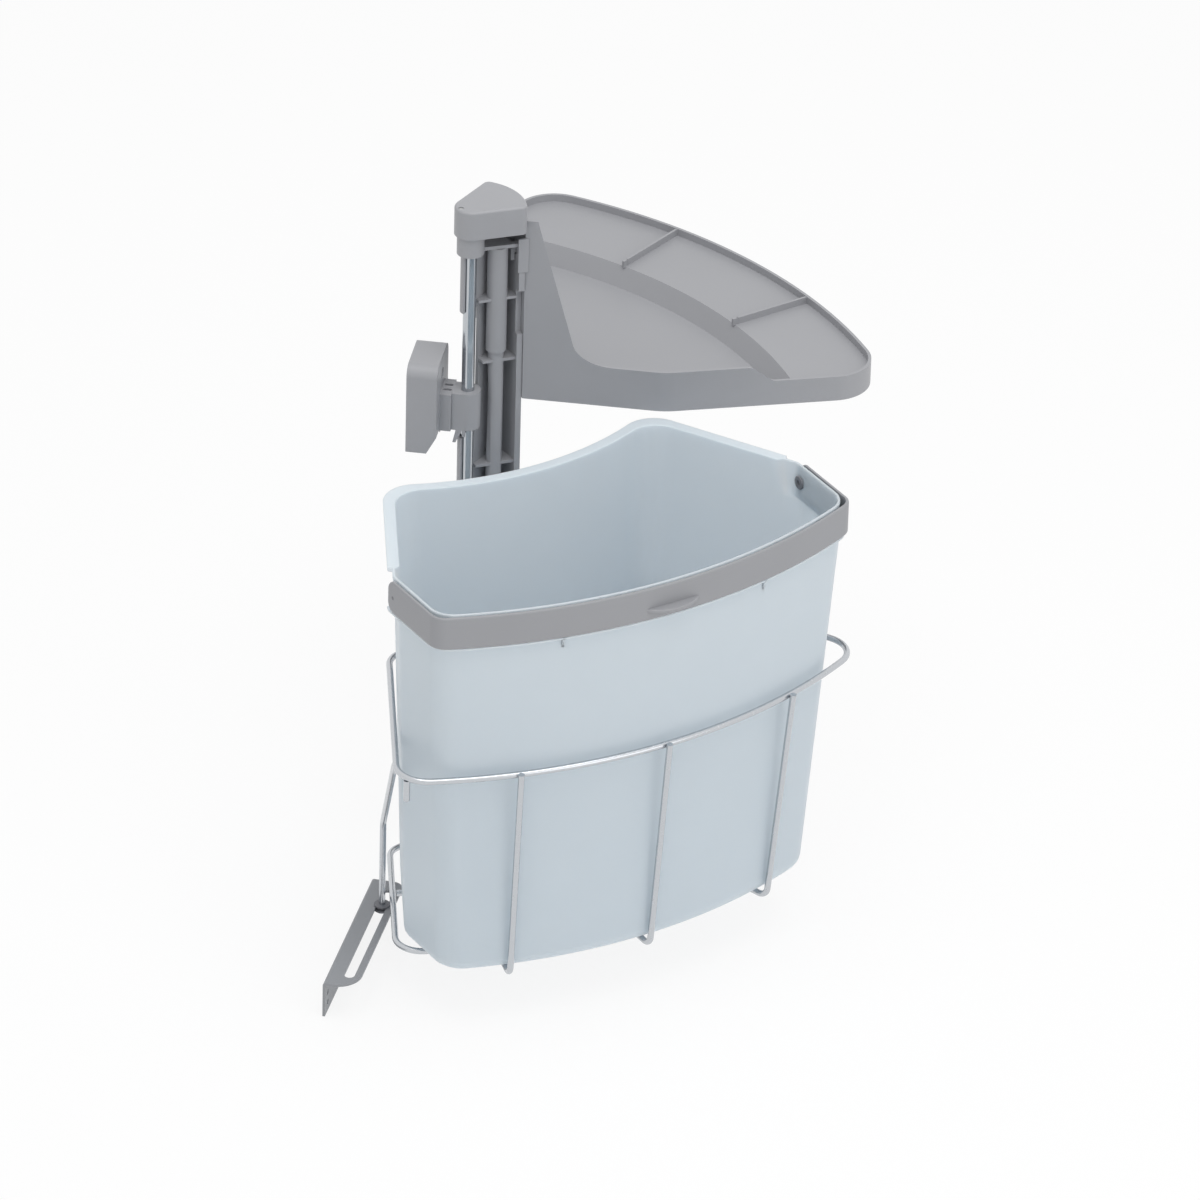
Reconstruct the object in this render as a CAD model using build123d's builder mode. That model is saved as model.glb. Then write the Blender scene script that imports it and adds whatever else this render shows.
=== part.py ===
from build123d import *
from math import acos, asin, cos, degrees, hypot, radians, sin, sqrt, tan
import os

os.makedirs("parts", exist_ok=True)

# A waste bin that swings out of a base cabinet with the cabinet's door.
# Lengths are millimetres and angles are degrees. X runs along the cabinet's width, Y into it, Z up.
# The origin is on the swivel axis, at the lower free end of the rod.

# Fits and cuts
running_gap = 0.05
seat_gap = 0.3
cut_overrun = 3.0

# Swivel rod
rod_radius = 5.0
rod_chamfer = 0.8

# Directions of the swinging pieces at rest
basket_angle = -49.6
lid_angle = 46.5
lid_turn = 5.8
door_direction = -93.7

# Fan plan that the bin, basket and lid share: its centre lies behind the swivel axis
fan_back = 145.0
fan_half_angle = 28.35

# Bin
bin_inner_radius = 246.7
bin_outer_radius = 448.0
bin_flank_length = 69.9
bin_foot_height = 29.0
bin_depth = 330.4
bin_rim_height = bin_foot_height + bin_depth
bin_draft = 3.35
bin_wall = 2.2
bin_floor = 2.6
bin_inner_round = 26.0
bin_side_round = 14.0
bin_outer_round = 22.0
bin_bottom_round = 12.0
rim_lip_width = 1.5
rim_lip_thickness = 2.4
rim_lip_end_step = 19.0
ledge_width = 1.8
ledge_thickness = 1.6
gusset_angle = 11.5
gusset_height = 8.0
gusset_thickness = 1.8

# Each flank of the bin runs along the basket's axis, from the radial side to the outer wall
side_slope = 1 / tan(radians(fan_half_angle))
flank_reach = sqrt(bin_outer_radius**2 * (1 + side_slope**2) - bin_flank_length**2)
bin_half_width = (flank_reach - side_slope * bin_flank_length) / (1 + side_slope**2)
flank_start = bin_half_width * side_slope - fan_back

# Bail handle
handle_height = 27.0
handle_thickness = 2.6
handle_gap = 1.6
handle_top_drop = 0.6
handle_pivot_step = 7.95
handle_ear_round = 13.2
handle_flange_width = 2.2
handle_flange_thickness = 2.0
grip_radius = 34.0
grip_reach = 8.5
grip_thickness = 3.0
grip_rise = 7.0
pivot_radius = 3.9
pivot_hole_gap = 0.1
pivot_head_radius = 6.5
pivot_head_thickness = 1.6
handle_pivot_reach = flank_start + handle_pivot_step

# Basket wires
wire_radius = 2.5
ring_drop = 144.7
ring_gap = 0.5
ring_front_gap = 3.9
ring_inner_round = 20.0
ring_outer_round = 24.0
front_wire_angle = 15.6
front_wire_rise = 3.0
front_wire_clearance = 0.6
weld_gap = 0.5
front_wire_bend = 9.0
front_wire_tail = 8.0
floor_inner_step = 22.0
floor_outer_step = 68.5
floor_side_gap = 7.3
floor_inner_round = 16.0
floor_outer_round = 20.0
cross_wire_angle = 26.0
rear_wire_angle = 9.0
peg_length = 18.0
ring_height = bin_rim_height - ring_drop
ring_inset = ring_drop * tan(radians(bin_draft)) - wire_radius - ring_gap
ring_outer = bin_outer_radius - ring_drop * tan(radians(bin_draft)) + wire_radius + ring_front_gap
ring_inner = bin_inner_radius + ring_inset
floor_inner_radius = bin_inner_radius - floor_inner_step
floor_outer_radius = bin_outer_radius - floor_outer_step
floor_inset = bin_depth * tan(radians(bin_draft)) - floor_side_gap - wire_radius
cradle_wire_height = bin_foot_height - seat_gap - wire_radius
floor_wire_height = cradle_wire_height - 2 * wire_radius
cross_wire_radius = (floor_inner_radius + floor_outer_radius) / 2

# Hubs of the basket and stop collars on the rod
hub_length = 22.0
hub_wall = 1.45
bush_wall = 1.5
bush_flange = 1.2
bush_flange_step = 1.25
hub_wire_gap = 0.1
collar_wall = 4.5
collar_height = 10.0
grub_radius = 1.6
grub_inset = 0.5
bush_radius = rod_radius + running_gap + bush_wall
bush_flange_radius = bush_radius + bush_flange_step
hub_radius = bush_radius + hub_wall
collar_radius = rod_radius + collar_wall
upper_hub_wire_height = ring_height - 2 * wire_radius
lower_hub_wire_height = cradle_wire_height

# Driver wire that runs in the door bracket's slot
driver_reach = 116.2
driver_start_step = 2.4
driver_spread = 4.6
driver_straight = 12.0
driver_bend_height = 87.0
driver_bend = 14.0
driver_head_step = 1.0
driver_head_height = 2.4

# Slot glider
glider_wall = 1.25
glider_flange_step = 2.4
glider_flange_thickness = 1.4
glider_clearance = 0.25
glider_core_radius = wire_radius + running_gap + glider_wall
glider_flange_radius = glider_core_radius + glider_flange_step

# Door bracket
bracket_drop = 9.7
bracket_sheet = 2.0
bracket_rear_margin = 18.0
bracket_front_margin = 17.0
bracket_door_margin = 12.9
bracket_free_margin = 5.4
bracket_front_round = 20.0
bracket_rear_round = 9.0
bracket_bend = 3.0
slot_side_gap = 0.3
slot_rear = 18.0
slot_front = 104.0
slot_half_width = glider_core_radius + slot_side_gap
bracket_plate_top = floor_wire_height - bracket_drop
bracket_rear = slot_rear + bracket_rear_margin
bracket_front = slot_front + bracket_front_margin
bracket_door_side = slot_half_width + bracket_door_margin
bracket_free_side = slot_half_width + bracket_free_margin
flange_drop = 30.0
flange_hole_radius = 2.2
flange_hole_end = 9.0
flange_hole_first = 13.0
flange_hole_pitch = 9.0

# Wall brackets
block_thickness = 24.0
arm_length = 9.0
block_depth = 52.0
block_below = 31.0
block_above = 44.0
block_round = 9.0
block_corner_cut = 8.0
block_edge_round = 1.5
arm_half_depth = 13.0
arm_half_height = 16.0
arm_groove = 3.0
arm_web = 2.4
jaw_wall = 4.95
jaw_seam_step = 1.0
jaw_leg_gap = 0.1
latch_width = 5.0
latch_length = 11.0
latch_thickness = 2.4
bracket_above_rim = 1.6
wall_screw_pitch = 48.0
wall_screw_rise = 4.0
wall_screw_radius = 2.2
wall_screw_shank = 1.9
wall_screw_gap = 0.2
wall_screw_head = 4.4
wall_screw_reach = 15.0
wall_screw_recess = 1.0
ring_radius = rod_radius + running_gap + jaw_wall
jaw_seam = ring_radius + jaw_seam_step
wall_distance = jaw_seam + arm_length + block_thickness
upper_bracket_height = bin_rim_height + bracket_above_rim
lower_bracket_height = (upper_hub_wire_height + lower_hub_wire_height) / 2

# Swinging column
column_foot_length = 66.0
column_radius = 43.0
column_plate_thickness = 4.5
column_half_angle = 22.0
column_notch_drop = 42.1
column_notch_height = 37.6
column_notch_depth = 5.0
column_ear_rise = 12.0
column_tab_rise = 1.6
column_tab_height = 16.0
column_tab_sweep = 4.2
web_angle = 20.0
web_thickness = 2.6
sleeve_gap = 0.5
sleeve_wall = 2.0
sleeve_start_angle = 20.0
sleeve_end_angle = 195.0
recess_below = 9.0
recess_above = 69.0
recess_gap = 2.0
rib_tube_reach = 24.5
rib_tube_side = 2.5
rib_tube_radius = 8.0
rib_tube_lower_radius = 6.2
rib_tube_wall = 2.2
rib_tube_rise = 45.0
cross_rib_low_rise = 35.5
cross_rib_middle_rise = 127.0
cross_rib_upper_rise = 181.0
cross_rib_thickness = 2.2
cross_rib_near_angle = 18.0
shelf_plate_thickness = 3.0
knuckle_wall = 2.9
knuckle_rise = 31.0
column_bush_length = 15.0
lower_knuckle_step = 1.0
rod_top_inset = 5.0

# Column cap
cap_rise = 7.0
cap_skirt_drop = 17.0
cap_wall = 2.0
cap_apex_gap = 0.3
cap_half_angle = 38.0
cap_corner_round = 5.0
cap_edge_round = 2.0
cap_screw_angle = 175.0
cap_screw_radius = 1.1
cap_screw_head_radius = 2.1
cap_screw_head_height = 1.3
cap_screw_recess = 0.6
cap_screw_length = 13.0

# Tray lid
lid_bin_gap = 3.0
lid_floor_thickness = 2.0
lid_skirt_rise = 1.6
lid_shelf_rise = 16.6
lid_shelf_thickness = 2.0
lid_rim_rise = 6.0
lid_side_rise = 13.0
lid_fin_rise = 122.0
lid_wall = 2.4
lid_back_angle = 24.0
lid_elbow_reach = 106.5
lid_elbow_side = 109.4
lid_corner_side = 204.6
lid_outer_radius = 446.7
lid_elbow_round = 53.5
lid_corner_round = 33.0
lid_shelf_width = 68.0
lid_pocket_taper = 33.0
lid_fin_shoulder_step = 0.5
lid_fin_run = 21.0
lid_fin_round = 20.0
lid_step_start = 164.0
lid_step_run = 14.0
lid_step_round = 7.0
divider_angle = 9.6
divider_height = 5.5
divider_thickness = 2.0
hook_drop = 32.0
hook_half_angle = 12.0
hook_window_angle = 14.0
hook_bridge_gap = 1.0
hook_bridge_height = 4.0
hook_lip_gap = 1.0
hook_lip_thickness = 2.8
hook_lip_drop = 6.4
tab_height = 29.0
tab_gap_angle = 1.4
tab_sweep_angle = 2.8
tab_reach = 8.0

# Heights of the lid and the column, from the bin's rim and the upper wall bracket
lid_floor_bottom = bin_rim_height + lid_bin_gap
lid_skirt_bottom = lid_floor_bottom + lid_skirt_rise
lid_shelf_top = lid_floor_bottom + lid_shelf_rise
lid_rim_top = lid_shelf_top + lid_rim_rise
lid_side_top = lid_rim_top + lid_side_rise
lid_fin_top = lid_side_top + lid_fin_rise
hook_seat = lid_fin_top - hook_drop
column_plate_top = hook_seat + column_ear_rise
shelf_plate_bottom = column_plate_top - shelf_plate_thickness
knuckle_top = column_plate_top + knuckle_rise
cap_skirt_bottom = knuckle_top - cap_skirt_drop
cap_top = knuckle_top + cap_rise
rod_length = knuckle_top - rod_top_inset
recess_bottom = upper_bracket_height - arm_half_height - recess_below
recess_top = upper_bracket_height + arm_half_height + recess_above
column_bottom = recess_bottom - column_foot_length
rib_tube_step = upper_bracket_height + rib_tube_rise
column_notch_top = column_plate_top - column_notch_drop
column_notch_bottom = column_notch_top - column_notch_height
column_tab_bottom = column_notch_top + column_tab_rise
column_tab_top = column_tab_bottom + column_tab_height
tab_bottom = column_tab_top + seat_gap

# Radii of the column and its cap, and outlines of the lid, from what they clear
sleeve_inner_radius = rod_radius + sleeve_gap
sleeve_outer_radius = sleeve_inner_radius + sleeve_wall
recess_radius = ring_radius + recess_gap
knuckle_radius = bush_flange_radius + knuckle_wall
lower_knuckle_height = column_bush_length + lower_knuckle_step
cap_apex_radius = knuckle_radius + cap_wall + cap_apex_gap
cap_screw_reach = (bush_flange_radius + knuckle_radius) / 2
lid_pocket_radius = lid_outer_radius - lid_shelf_width
lid_fin_shoulder = column_radius + lid_fin_shoulder_step
lid_fin_foot = lid_fin_shoulder + lid_fin_run
lid_step_end = lid_step_start + lid_step_run


# Shared helpers

def turned_plane(angle, height):
    """Horizontal plane about the swivel axis, with its x along the given direction."""
    direction = (cos(radians(angle)), sin(radians(angle)), 0)
    return Plane(origin=(0, 0, height), x_dir=direction, z_dir=(0, 0, 1))


def basket_plane(height):
    return turned_plane(basket_angle, height)


def lid_plane(height):
    """Plane of the column and of what hangs the lid on it."""
    return turned_plane(lid_angle, height)


def tray_plane(height):
    """Plane of the lid's fan, which is turned a little on the column."""
    return turned_plane(lid_angle + lid_turn, height)


def radial_plane(angle):
    """Upright plane through the basket's fan centre: x runs outwards, y runs up."""
    centre = basket_plane(0).from_local_coords(Vector(-fan_back, 0, 0))
    heading = radians(basket_angle + angle)
    return Plane(origin=centre, x_dir=(cos(heading), sin(heading), 0), z_dir=(sin(heading), -cos(heading), 0))


def side_point(radius, inset):
    """Where a radial side, moved inwards by an inset, meets an arc about the fan centre."""
    half_angle = radians(fan_half_angle)
    apex = inset / sin(half_angle)
    reach = sqrt(radius**2 - inset**2) - apex * cos(half_angle)
    return apex + reach * cos(half_angle) - fan_back, reach * sin(half_angle)


def side_line_offset(reach, inset):
    """Sideways place of a radial side, moved inwards by an inset, at a reach from the axis."""
    half_angle = radians(fan_half_angle)
    return (reach + fan_back - inset / sin(half_angle)) * tan(half_angle)


def flipped(point):
    return point[0], -point[1]


def fan_sketch(plane, inset, rounding):
    """Bin outline, moved inwards by an inset: two arcs, radial sides and flanks along the axis."""
    inner_radius = bin_inner_radius + inset
    outer_radius = bin_outer_radius - inset
    half_width = bin_half_width - inset
    half_angle = radians(fan_half_angle)
    inner = side_point(inner_radius, inset)
    side = (half_width / tan(half_angle) + inset / sin(half_angle) - fan_back, half_width)
    outer = (sqrt(outer_radius**2 - half_width**2) - fan_back, half_width)
    with BuildSketch(plane) as outline:
        with BuildLine():
            ThreePointArc(flipped(inner), (inner_radius - fan_back, 0), inner)
            Line(inner, side)
            Line(side, outer)
            ThreePointArc(outer, (outer_radius - fan_back, 0), flipped(outer))
            Line(flipped(outer), flipped(side))
            Line(flipped(side), flipped(inner))
        make_face()
        fillet(outline.vertices().group_by(Axis.X)[2], bin_outer_round - rounding)
        fillet(outline.vertices().group_by(Axis.X)[1], bin_side_round - rounding)
        fillet(outline.vertices().group_by(Axis.X)[0], bin_inner_round - rounding)
    return outline.sketch


def bin_section(height, wall):
    """Bin outline at a height, with the draft, moved inwards by the wall."""
    draft_inset = (bin_rim_height - height) * tan(radians(bin_draft))
    return fan_sketch(basket_plane(height), draft_inset + wall, wall)


def sector_sketch(plane, inner_radius, outer_radius, inset, inner_round, outer_round):
    """Fan outline with four corners, for the basket's wire loops."""
    inner = side_point(inner_radius, inset)
    outer = side_point(outer_radius, inset)
    with BuildSketch(plane) as outline:
        with BuildLine():
            ThreePointArc(flipped(inner), (inner_radius - fan_back, 0), inner)
            Line(inner, outer)
            ThreePointArc(outer, (outer_radius - fan_back, 0), flipped(outer))
            Line(flipped(outer), flipped(inner))
        make_face()
        fillet(outline.vertices().group_by(Axis.X)[-1], outer_round)
        fillet(outline.vertices().group_by(Axis.X)[0], inner_round)
    return outline.sketch


def flank_sketch(plane, reach, growth):
    """Outline of the bin's outer half, grown outwards, open from a reach onwards."""
    outer_radius = bin_outer_radius + growth
    half_width = bin_half_width + growth
    outer = (sqrt(outer_radius**2 - half_width**2) - fan_back, half_width)
    with BuildSketch(plane) as outline:
        with BuildLine():
            Line((reach, -half_width), (reach, half_width))
            Line((reach, half_width), outer)
            ThreePointArc(outer, (outer_radius - fan_back, 0), flipped(outer))
            Line(flipped(outer), (reach, -half_width))
        make_face()
        fillet(outline.vertices().group_by(Axis.X)[-1], bin_outer_round + growth)
    return outline.sketch


def polar(radius, angle):
    return radius * cos(radians(angle)), radius * sin(radians(angle))


def band_sketch(height, inner_radius, outer_radius, start, end):
    """Curved band about the swivel axis, between two angles of the lid's frame."""
    middle = (start + end) / 2
    with BuildSketch(lid_plane(height)) as band:
        with BuildLine():
            ThreePointArc(polar(inner_radius, start), polar(inner_radius, middle), polar(inner_radius, end))
            Line(polar(inner_radius, end), polar(outer_radius, end))
            ThreePointArc(polar(outer_radius, end), polar(outer_radius, middle), polar(outer_radius, start))
            Line(polar(outer_radius, start), polar(inner_radius, start))
        make_face()
    return band.sketch


def sweep_wire(path):
    """Round wire along a path, in the open part."""
    with BuildSketch(Plane(origin=path @ 0, z_dir=path % 0)) as section:
        Circle(wire_radius)
    sweep(sections=section.sketch, path=path)


def sweep_loop(outline):
    """Closed round wire along an outline, in the open part, swept edge by edge."""
    for edge in outline.face().outer_wire().edges():
        sweep_wire(edge)


def write(piece, label):
    piece.part.label = label
    export_step(piece.part, "parts/" + label + ".step")


# Swivel rod
with BuildPart() as swivel_rod:
    with BuildSketch(Plane.XY):
        Circle(rod_radius)
    extrude(amount=rod_length)
    chamfer(swivel_rod.edges().filter_by(GeomType.CIRCLE), rod_chamfer)
write(swivel_rod, "swivel_rod")


# Wall brackets, one near the bin's rim and one low down, each with a jaw that closes round the rod

def wall_screw_heights(middle):
    """Heights of a bracket's two screws."""
    return middle + wall_screw_rise - wall_screw_pitch / 2, middle + wall_screw_rise + wall_screw_pitch / 2


def make_wall_bracket(middle):
    """Block against the cabinet's side, with an arm that ends in half a seat for the rod."""
    block_face = -wall_distance + block_thickness
    with BuildPart() as bracket:
        with BuildSketch(Plane.XZ.offset(-block_depth / 2)):
            with BuildLine():
                Polyline(
                    (-wall_distance, middle - block_below),
                    (block_face - block_corner_cut, middle - block_below),
                    (block_face, middle - arm_half_height),
                    (block_face, middle + block_above),
                    (-wall_distance, middle + block_above),
                    close=True,
                )
            make_face()
        extrude(amount=block_depth)
        top_edges = bracket.faces().sort_by(Axis.Z)[-1].edges().filter_by(Axis.X)
        fillet(top_edges, block_round)
        low_edges = bracket.faces().sort_by(Axis.Z)[0].edges().filter_by(Axis.X)
        fillet(low_edges, block_edge_round)
        with BuildSketch(Plane.XY.offset(middle - arm_half_height)):
            with BuildLine():
                Polyline(
                    (block_face - cut_overrun, -arm_half_depth),
                    (-jaw_seam, -arm_half_depth),
                    (-jaw_seam, -ring_radius + arm_groove),
                    (0, -ring_radius + arm_groove),
                    (0, ring_radius - arm_groove),
                    (-jaw_seam, ring_radius - arm_groove),
                    (-jaw_seam, arm_half_depth),
                    (block_face - cut_overrun, arm_half_depth),
                    close=True,
                )
            make_face()
        extrude(amount=2 * arm_half_height)
        with BuildSketch(Plane.XY.offset(middle - arm_half_height - cut_overrun)):
            Circle(rod_radius + running_gap)
        extrude(amount=2 * (arm_half_height + cut_overrun), mode=Mode.SUBTRACT)
        with BuildSketch(Plane.XY.offset(middle + arm_half_height)):
            with Locations(((block_face - jaw_seam) / 2, 0)):
                with GridLocations(0, 2 * arm_web + arm_groove, 2, 2):
                    Rectangle(-block_face - jaw_seam - arm_web, arm_groove)
        extrude(amount=-arm_groove, mode=Mode.SUBTRACT)
        for height in wall_screw_heights(middle):
            with BuildSketch(Plane.YZ.offset(-wall_distance)):
                with Locations((0, height)):
                    Circle(wall_screw_radius + wall_screw_gap)
            extrude(amount=block_thickness, mode=Mode.SUBTRACT)
            with BuildSketch(Plane.YZ.offset(block_face)):
                with Locations((0, height)):
                    Circle(wall_screw_head + seat_gap)
            extrude(amount=-wall_screw_recess - wall_screw_head / 2, mode=Mode.SUBTRACT)
    return bracket


def make_clamp_jaw(middle):
    """Strap that wraps the rod and slides over the arm's nose, with two latch fingers below."""
    nose = ring_radius - arm_groove + jaw_leg_gap
    finger_end = -jaw_leg_gap - latch_thickness - latch_width
    with BuildPart() as jaw:
        with BuildSketch(Plane.XY.offset(middle - arm_half_height)):
            Circle(ring_radius)
            with Locations((-jaw_seam / 2, 0)):
                Rectangle(jaw_seam - 2 * jaw_leg_gap, 2 * ring_radius)
            with Locations((-jaw_seam / 2, 0)):
                Rectangle(jaw_seam + 2 * jaw_leg_gap, 2 * nose, mode=Mode.SUBTRACT)
            Circle(rod_radius + running_gap, mode=Mode.SUBTRACT)
        extrude(amount=2 * arm_half_height)
        with BuildSketch(Plane.XZ.offset(ring_radius)):
            with BuildLine():
                Polyline(
                    (-jaw_leg_gap - latch_thickness, middle - arm_half_height),
                    (finger_end, middle - arm_half_height - latch_length),
                    (finger_end - latch_thickness, middle - arm_half_height - latch_length),
                    (finger_end, middle - arm_half_height),
                    close=True,
                )
            make_face()
        extrude(amount=-arm_groove + jaw_leg_gap)
        with BuildSketch(Plane.XZ.offset(ring_radius)):
            with BuildLine():
                Polyline(
                    (-jaw_leg_gap - latch_thickness, middle - arm_half_height),
                    (-jaw_leg_gap - latch_thickness, middle - arm_half_height - latch_length / 2),
                    (-jaw_leg_gap, middle - arm_half_height - latch_length / 2),
                    (-jaw_leg_gap, middle - arm_half_height),
                    close=True,
                )
            make_face()
        extrude(amount=-arm_groove + jaw_leg_gap)
    return jaw


for position, middle_height in (("upper", upper_bracket_height), ("lower", lower_bracket_height)):
    write(make_wall_bracket(middle_height), position + "_wall_bracket")
    write(make_clamp_jaw(middle_height), position + "_clamp_jaw")

screw_heights = wall_screw_heights(upper_bracket_height) + wall_screw_heights(lower_bracket_height)
screw_head_face = -wall_distance + block_thickness - wall_screw_recess
with BuildPart() as wall_screws:
    for height in screw_heights:
        with BuildSketch(Plane.XZ):
            with BuildLine():
                Polyline(
                    (screw_head_face, height),
                    (screw_head_face, height + wall_screw_head),
                    (screw_head_face - wall_screw_head / 2, height + wall_screw_shank),
                    (-wall_distance, height + wall_screw_shank),
                    (-wall_distance, height + wall_screw_radius),
                    (-wall_distance - wall_screw_reach + wall_screw_radius, height + wall_screw_radius),
                    (-wall_distance - wall_screw_reach, height),
                    close=True,
                )
            make_face()
        revolve(axis=Axis((0, 0, height), (1, 0, 0)))
write(wall_screws, "wall_screws")


# Column that swings about the rod: a fan of webs and ribs, open towards its near side

def column_band(height, top, inner_radius, outer_radius, start, end):
    extrude(band_sketch(height, inner_radius, outer_radius, start, end), amount=top - height)


plate_inner_radius = column_radius - column_plate_thickness
hook_lip_outer = plate_inner_radius - hook_lip_gap
hook_lip_inner = hook_lip_outer - hook_lip_thickness
rib_tube_place = (rib_tube_reach, -rib_tube_side)
cap_screw_place = polar(cap_screw_reach, cap_screw_angle)
with BuildPart() as swing_column:
    plate_span = (-column_half_angle, column_half_angle)
    column_band(column_bottom, column_plate_top, plate_inner_radius, column_radius, *plate_span)
    for side in (-1, 1):
        notch_start = side * (column_half_angle + tab_gap_angle)
        notch_end = side * (column_half_angle - degrees(asin(column_notch_depth / column_radius)))
        notch = band_sketch(
            column_notch_bottom,
            plate_inner_radius - cut_overrun,
            column_radius + cut_overrun,
            notch_start,
            notch_end,
        )
        extrude(notch, amount=column_notch_top - column_notch_bottom, mode=Mode.SUBTRACT)
        tab_edges = (side * column_half_angle, side * (column_half_angle + column_tab_sweep))
        column_band(column_tab_bottom, column_tab_top, plate_inner_radius, column_radius, *tab_edges)
    for low, top, inner in (
        (column_bottom, recess_bottom, sleeve_inner_radius),
        (recess_bottom, recess_top, recess_radius),
        (recess_top, cap_skirt_bottom, sleeve_inner_radius),
    ):
        web_outer = (plate_inner_radius + column_radius) / 2
        with BuildSketch(lid_plane(low)):
            with PolarLocations((inner + web_outer) / 2, 1, start_angle=web_angle):
                Rectangle(web_outer - inner, web_thickness)
        extrude(amount=top - low)
    for low, top in ((column_bottom, recess_bottom), (recess_top, cap_skirt_bottom)):
        column_band(low, top, sleeve_inner_radius, sleeve_outer_radius, sleeve_start_angle, sleeve_end_angle)
    for low, top, radius in (
        (column_bottom, rib_tube_step, rib_tube_lower_radius),
        (rib_tube_step, shelf_plate_bottom, rib_tube_radius),
    ):
        with BuildSketch(lid_plane(low)):
            with Locations(rib_tube_place):
                Circle(radius)
        extrude(amount=top - low)
    for rib_rise in (cross_rib_low_rise, cross_rib_middle_rise, cross_rib_upper_rise):
        rib_height = column_bottom + rib_rise
        in_recess = recess_bottom < rib_height < recess_top
        rib_inner = recess_radius if in_recess else sleeve_outer_radius - running_gap
        column_band(
            rib_height,
            rib_height + cross_rib_thickness,
            rib_inner,
            plate_inner_radius + running_gap,
            -cross_rib_near_angle,
            web_angle,
        )
    for low, thickness in (
        (column_bottom, cross_rib_thickness),
        (shelf_plate_bottom, shelf_plate_thickness),
    ):
        column_band(low, low + thickness, sleeve_inner_radius, column_radius, *plate_span)
    for low, top in (
        (column_bottom, column_bottom + lower_knuckle_height),
        (shelf_plate_bottom, knuckle_top),
    ):
        with BuildSketch(lid_plane(low)):
            Circle(knuckle_radius)
        extrude(amount=top - low)
    window = band_sketch(
        hook_seat,
        hook_lip_inner - hook_lip_gap,
        column_radius + cut_overrun,
        -hook_window_angle,
        hook_window_angle,
    )
    extrude(window, amount=column_ear_rise + cut_overrun, mode=Mode.SUBTRACT)
    with BuildSketch(lid_plane(column_bottom - cut_overrun)):
        Circle(sleeve_inner_radius)
    extrude(amount=knuckle_top - column_bottom + 2 * cut_overrun, mode=Mode.SUBTRACT)
    for low, top in (
        (column_bottom - cut_overrun, column_bottom + column_bush_length),
        (knuckle_top - column_bush_length, knuckle_top + cut_overrun),
    ):
        with BuildSketch(lid_plane(low)):
            Circle(bush_radius)
        extrude(amount=top - low, mode=Mode.SUBTRACT)
    with BuildSketch(lid_plane(column_bottom - cut_overrun)):
        with Locations(rib_tube_place):
            Circle(rib_tube_lower_radius - rib_tube_wall)
    extrude(amount=shelf_plate_bottom - column_bottom, mode=Mode.SUBTRACT)
    with BuildSketch(lid_plane(knuckle_top - cap_screw_length)):
        with Locations(cap_screw_place):
            Circle(cap_screw_radius)
    extrude(amount=cap_screw_length + cut_overrun, mode=Mode.SUBTRACT)
write(swing_column, "swing_column")


# Plain bushes with a flange, in the column and in the basket's hubs

def make_bush(bottom, length, outward):
    """Bush from a bottom height. Its flange is below it for an outward of -1, above it for 1."""
    flange_start = bottom - bush_flange if outward < 0 else bottom + length
    with BuildPart() as bush:
        with BuildSketch(Plane.XY.offset(bottom)):
            Circle(bush_radius)
        extrude(amount=length)
        with BuildSketch(Plane.XY.offset(flange_start)):
            Circle(bush_flange_radius)
        extrude(amount=bush_flange)
        with BuildSketch(Plane.XY.offset(flange_start - length - cut_overrun)):
            Circle(rod_radius + running_gap)
        extrude(amount=2 * (length + cut_overrun) + bush_flange, mode=Mode.SUBTRACT)
    return bush


write(make_bush(column_bottom, column_bush_length, -1), "lower_column_bush")
write(make_bush(knuckle_top - column_bush_length, column_bush_length, 1), "upper_column_bush")


# Cap over the column's top knuckle

def cap_sketch(height, inset):
    """Rounded fan over the knuckle and the column's front plate."""
    apex_radius = cap_apex_radius - inset
    front_radius = column_radius - inset
    tangent_angle = cap_half_angle + degrees(acos(cap_apex_radius / column_radius))
    edge_angle = tangent_angle - degrees(acos(apex_radius / front_radius))
    apex_side = polar(apex_radius, tangent_angle)
    front_side = polar(front_radius, edge_angle)
    with BuildSketch(lid_plane(height)) as outline:
        with BuildLine():
            ThreePointArc(flipped(apex_side), (-apex_radius, 0), apex_side)
            Line(apex_side, front_side)
            ThreePointArc(front_side, (front_radius, 0), flipped(front_side))
            Line(flipped(front_side), flipped(apex_side))
        make_face()
        fillet(outline.vertices().group_by(Axis.X)[-1], cap_corner_round - inset)
    return outline.sketch


with BuildPart() as column_cap:
    extrude(cap_sketch(cap_skirt_bottom, 0), amount=cap_top - cap_skirt_bottom)
    fillet(column_cap.faces().sort_by(Axis.Z)[-1].edges(), cap_edge_round)
    cap_cavity = cap_sketch(cap_skirt_bottom - cut_overrun, cap_wall)
    extrude(cap_cavity, amount=cap_top - cap_wall - cap_skirt_bottom + cut_overrun, mode=Mode.SUBTRACT)
    with BuildSketch(lid_plane(knuckle_top)):
        Circle(knuckle_radius)
        Circle(bush_flange_radius + running_gap, mode=Mode.SUBTRACT)
    extrude(amount=cap_top - cap_wall - knuckle_top)
    with BuildSketch(lid_plane(knuckle_top - cut_overrun)):
        with Locations(cap_screw_place):
            Circle(cap_screw_radius)
    extrude(amount=cap_top - knuckle_top + 2 * cut_overrun, mode=Mode.SUBTRACT)
    with BuildSketch(lid_plane(cap_top - cap_screw_recess - cap_screw_head_height)):
        with Locations(cap_screw_place):
            Circle(cap_screw_head_radius + running_gap)
    extrude(amount=cap_screw_recess + cap_screw_head_height + cut_overrun, mode=Mode.SUBTRACT)
write(column_cap, "column_cap")

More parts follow.
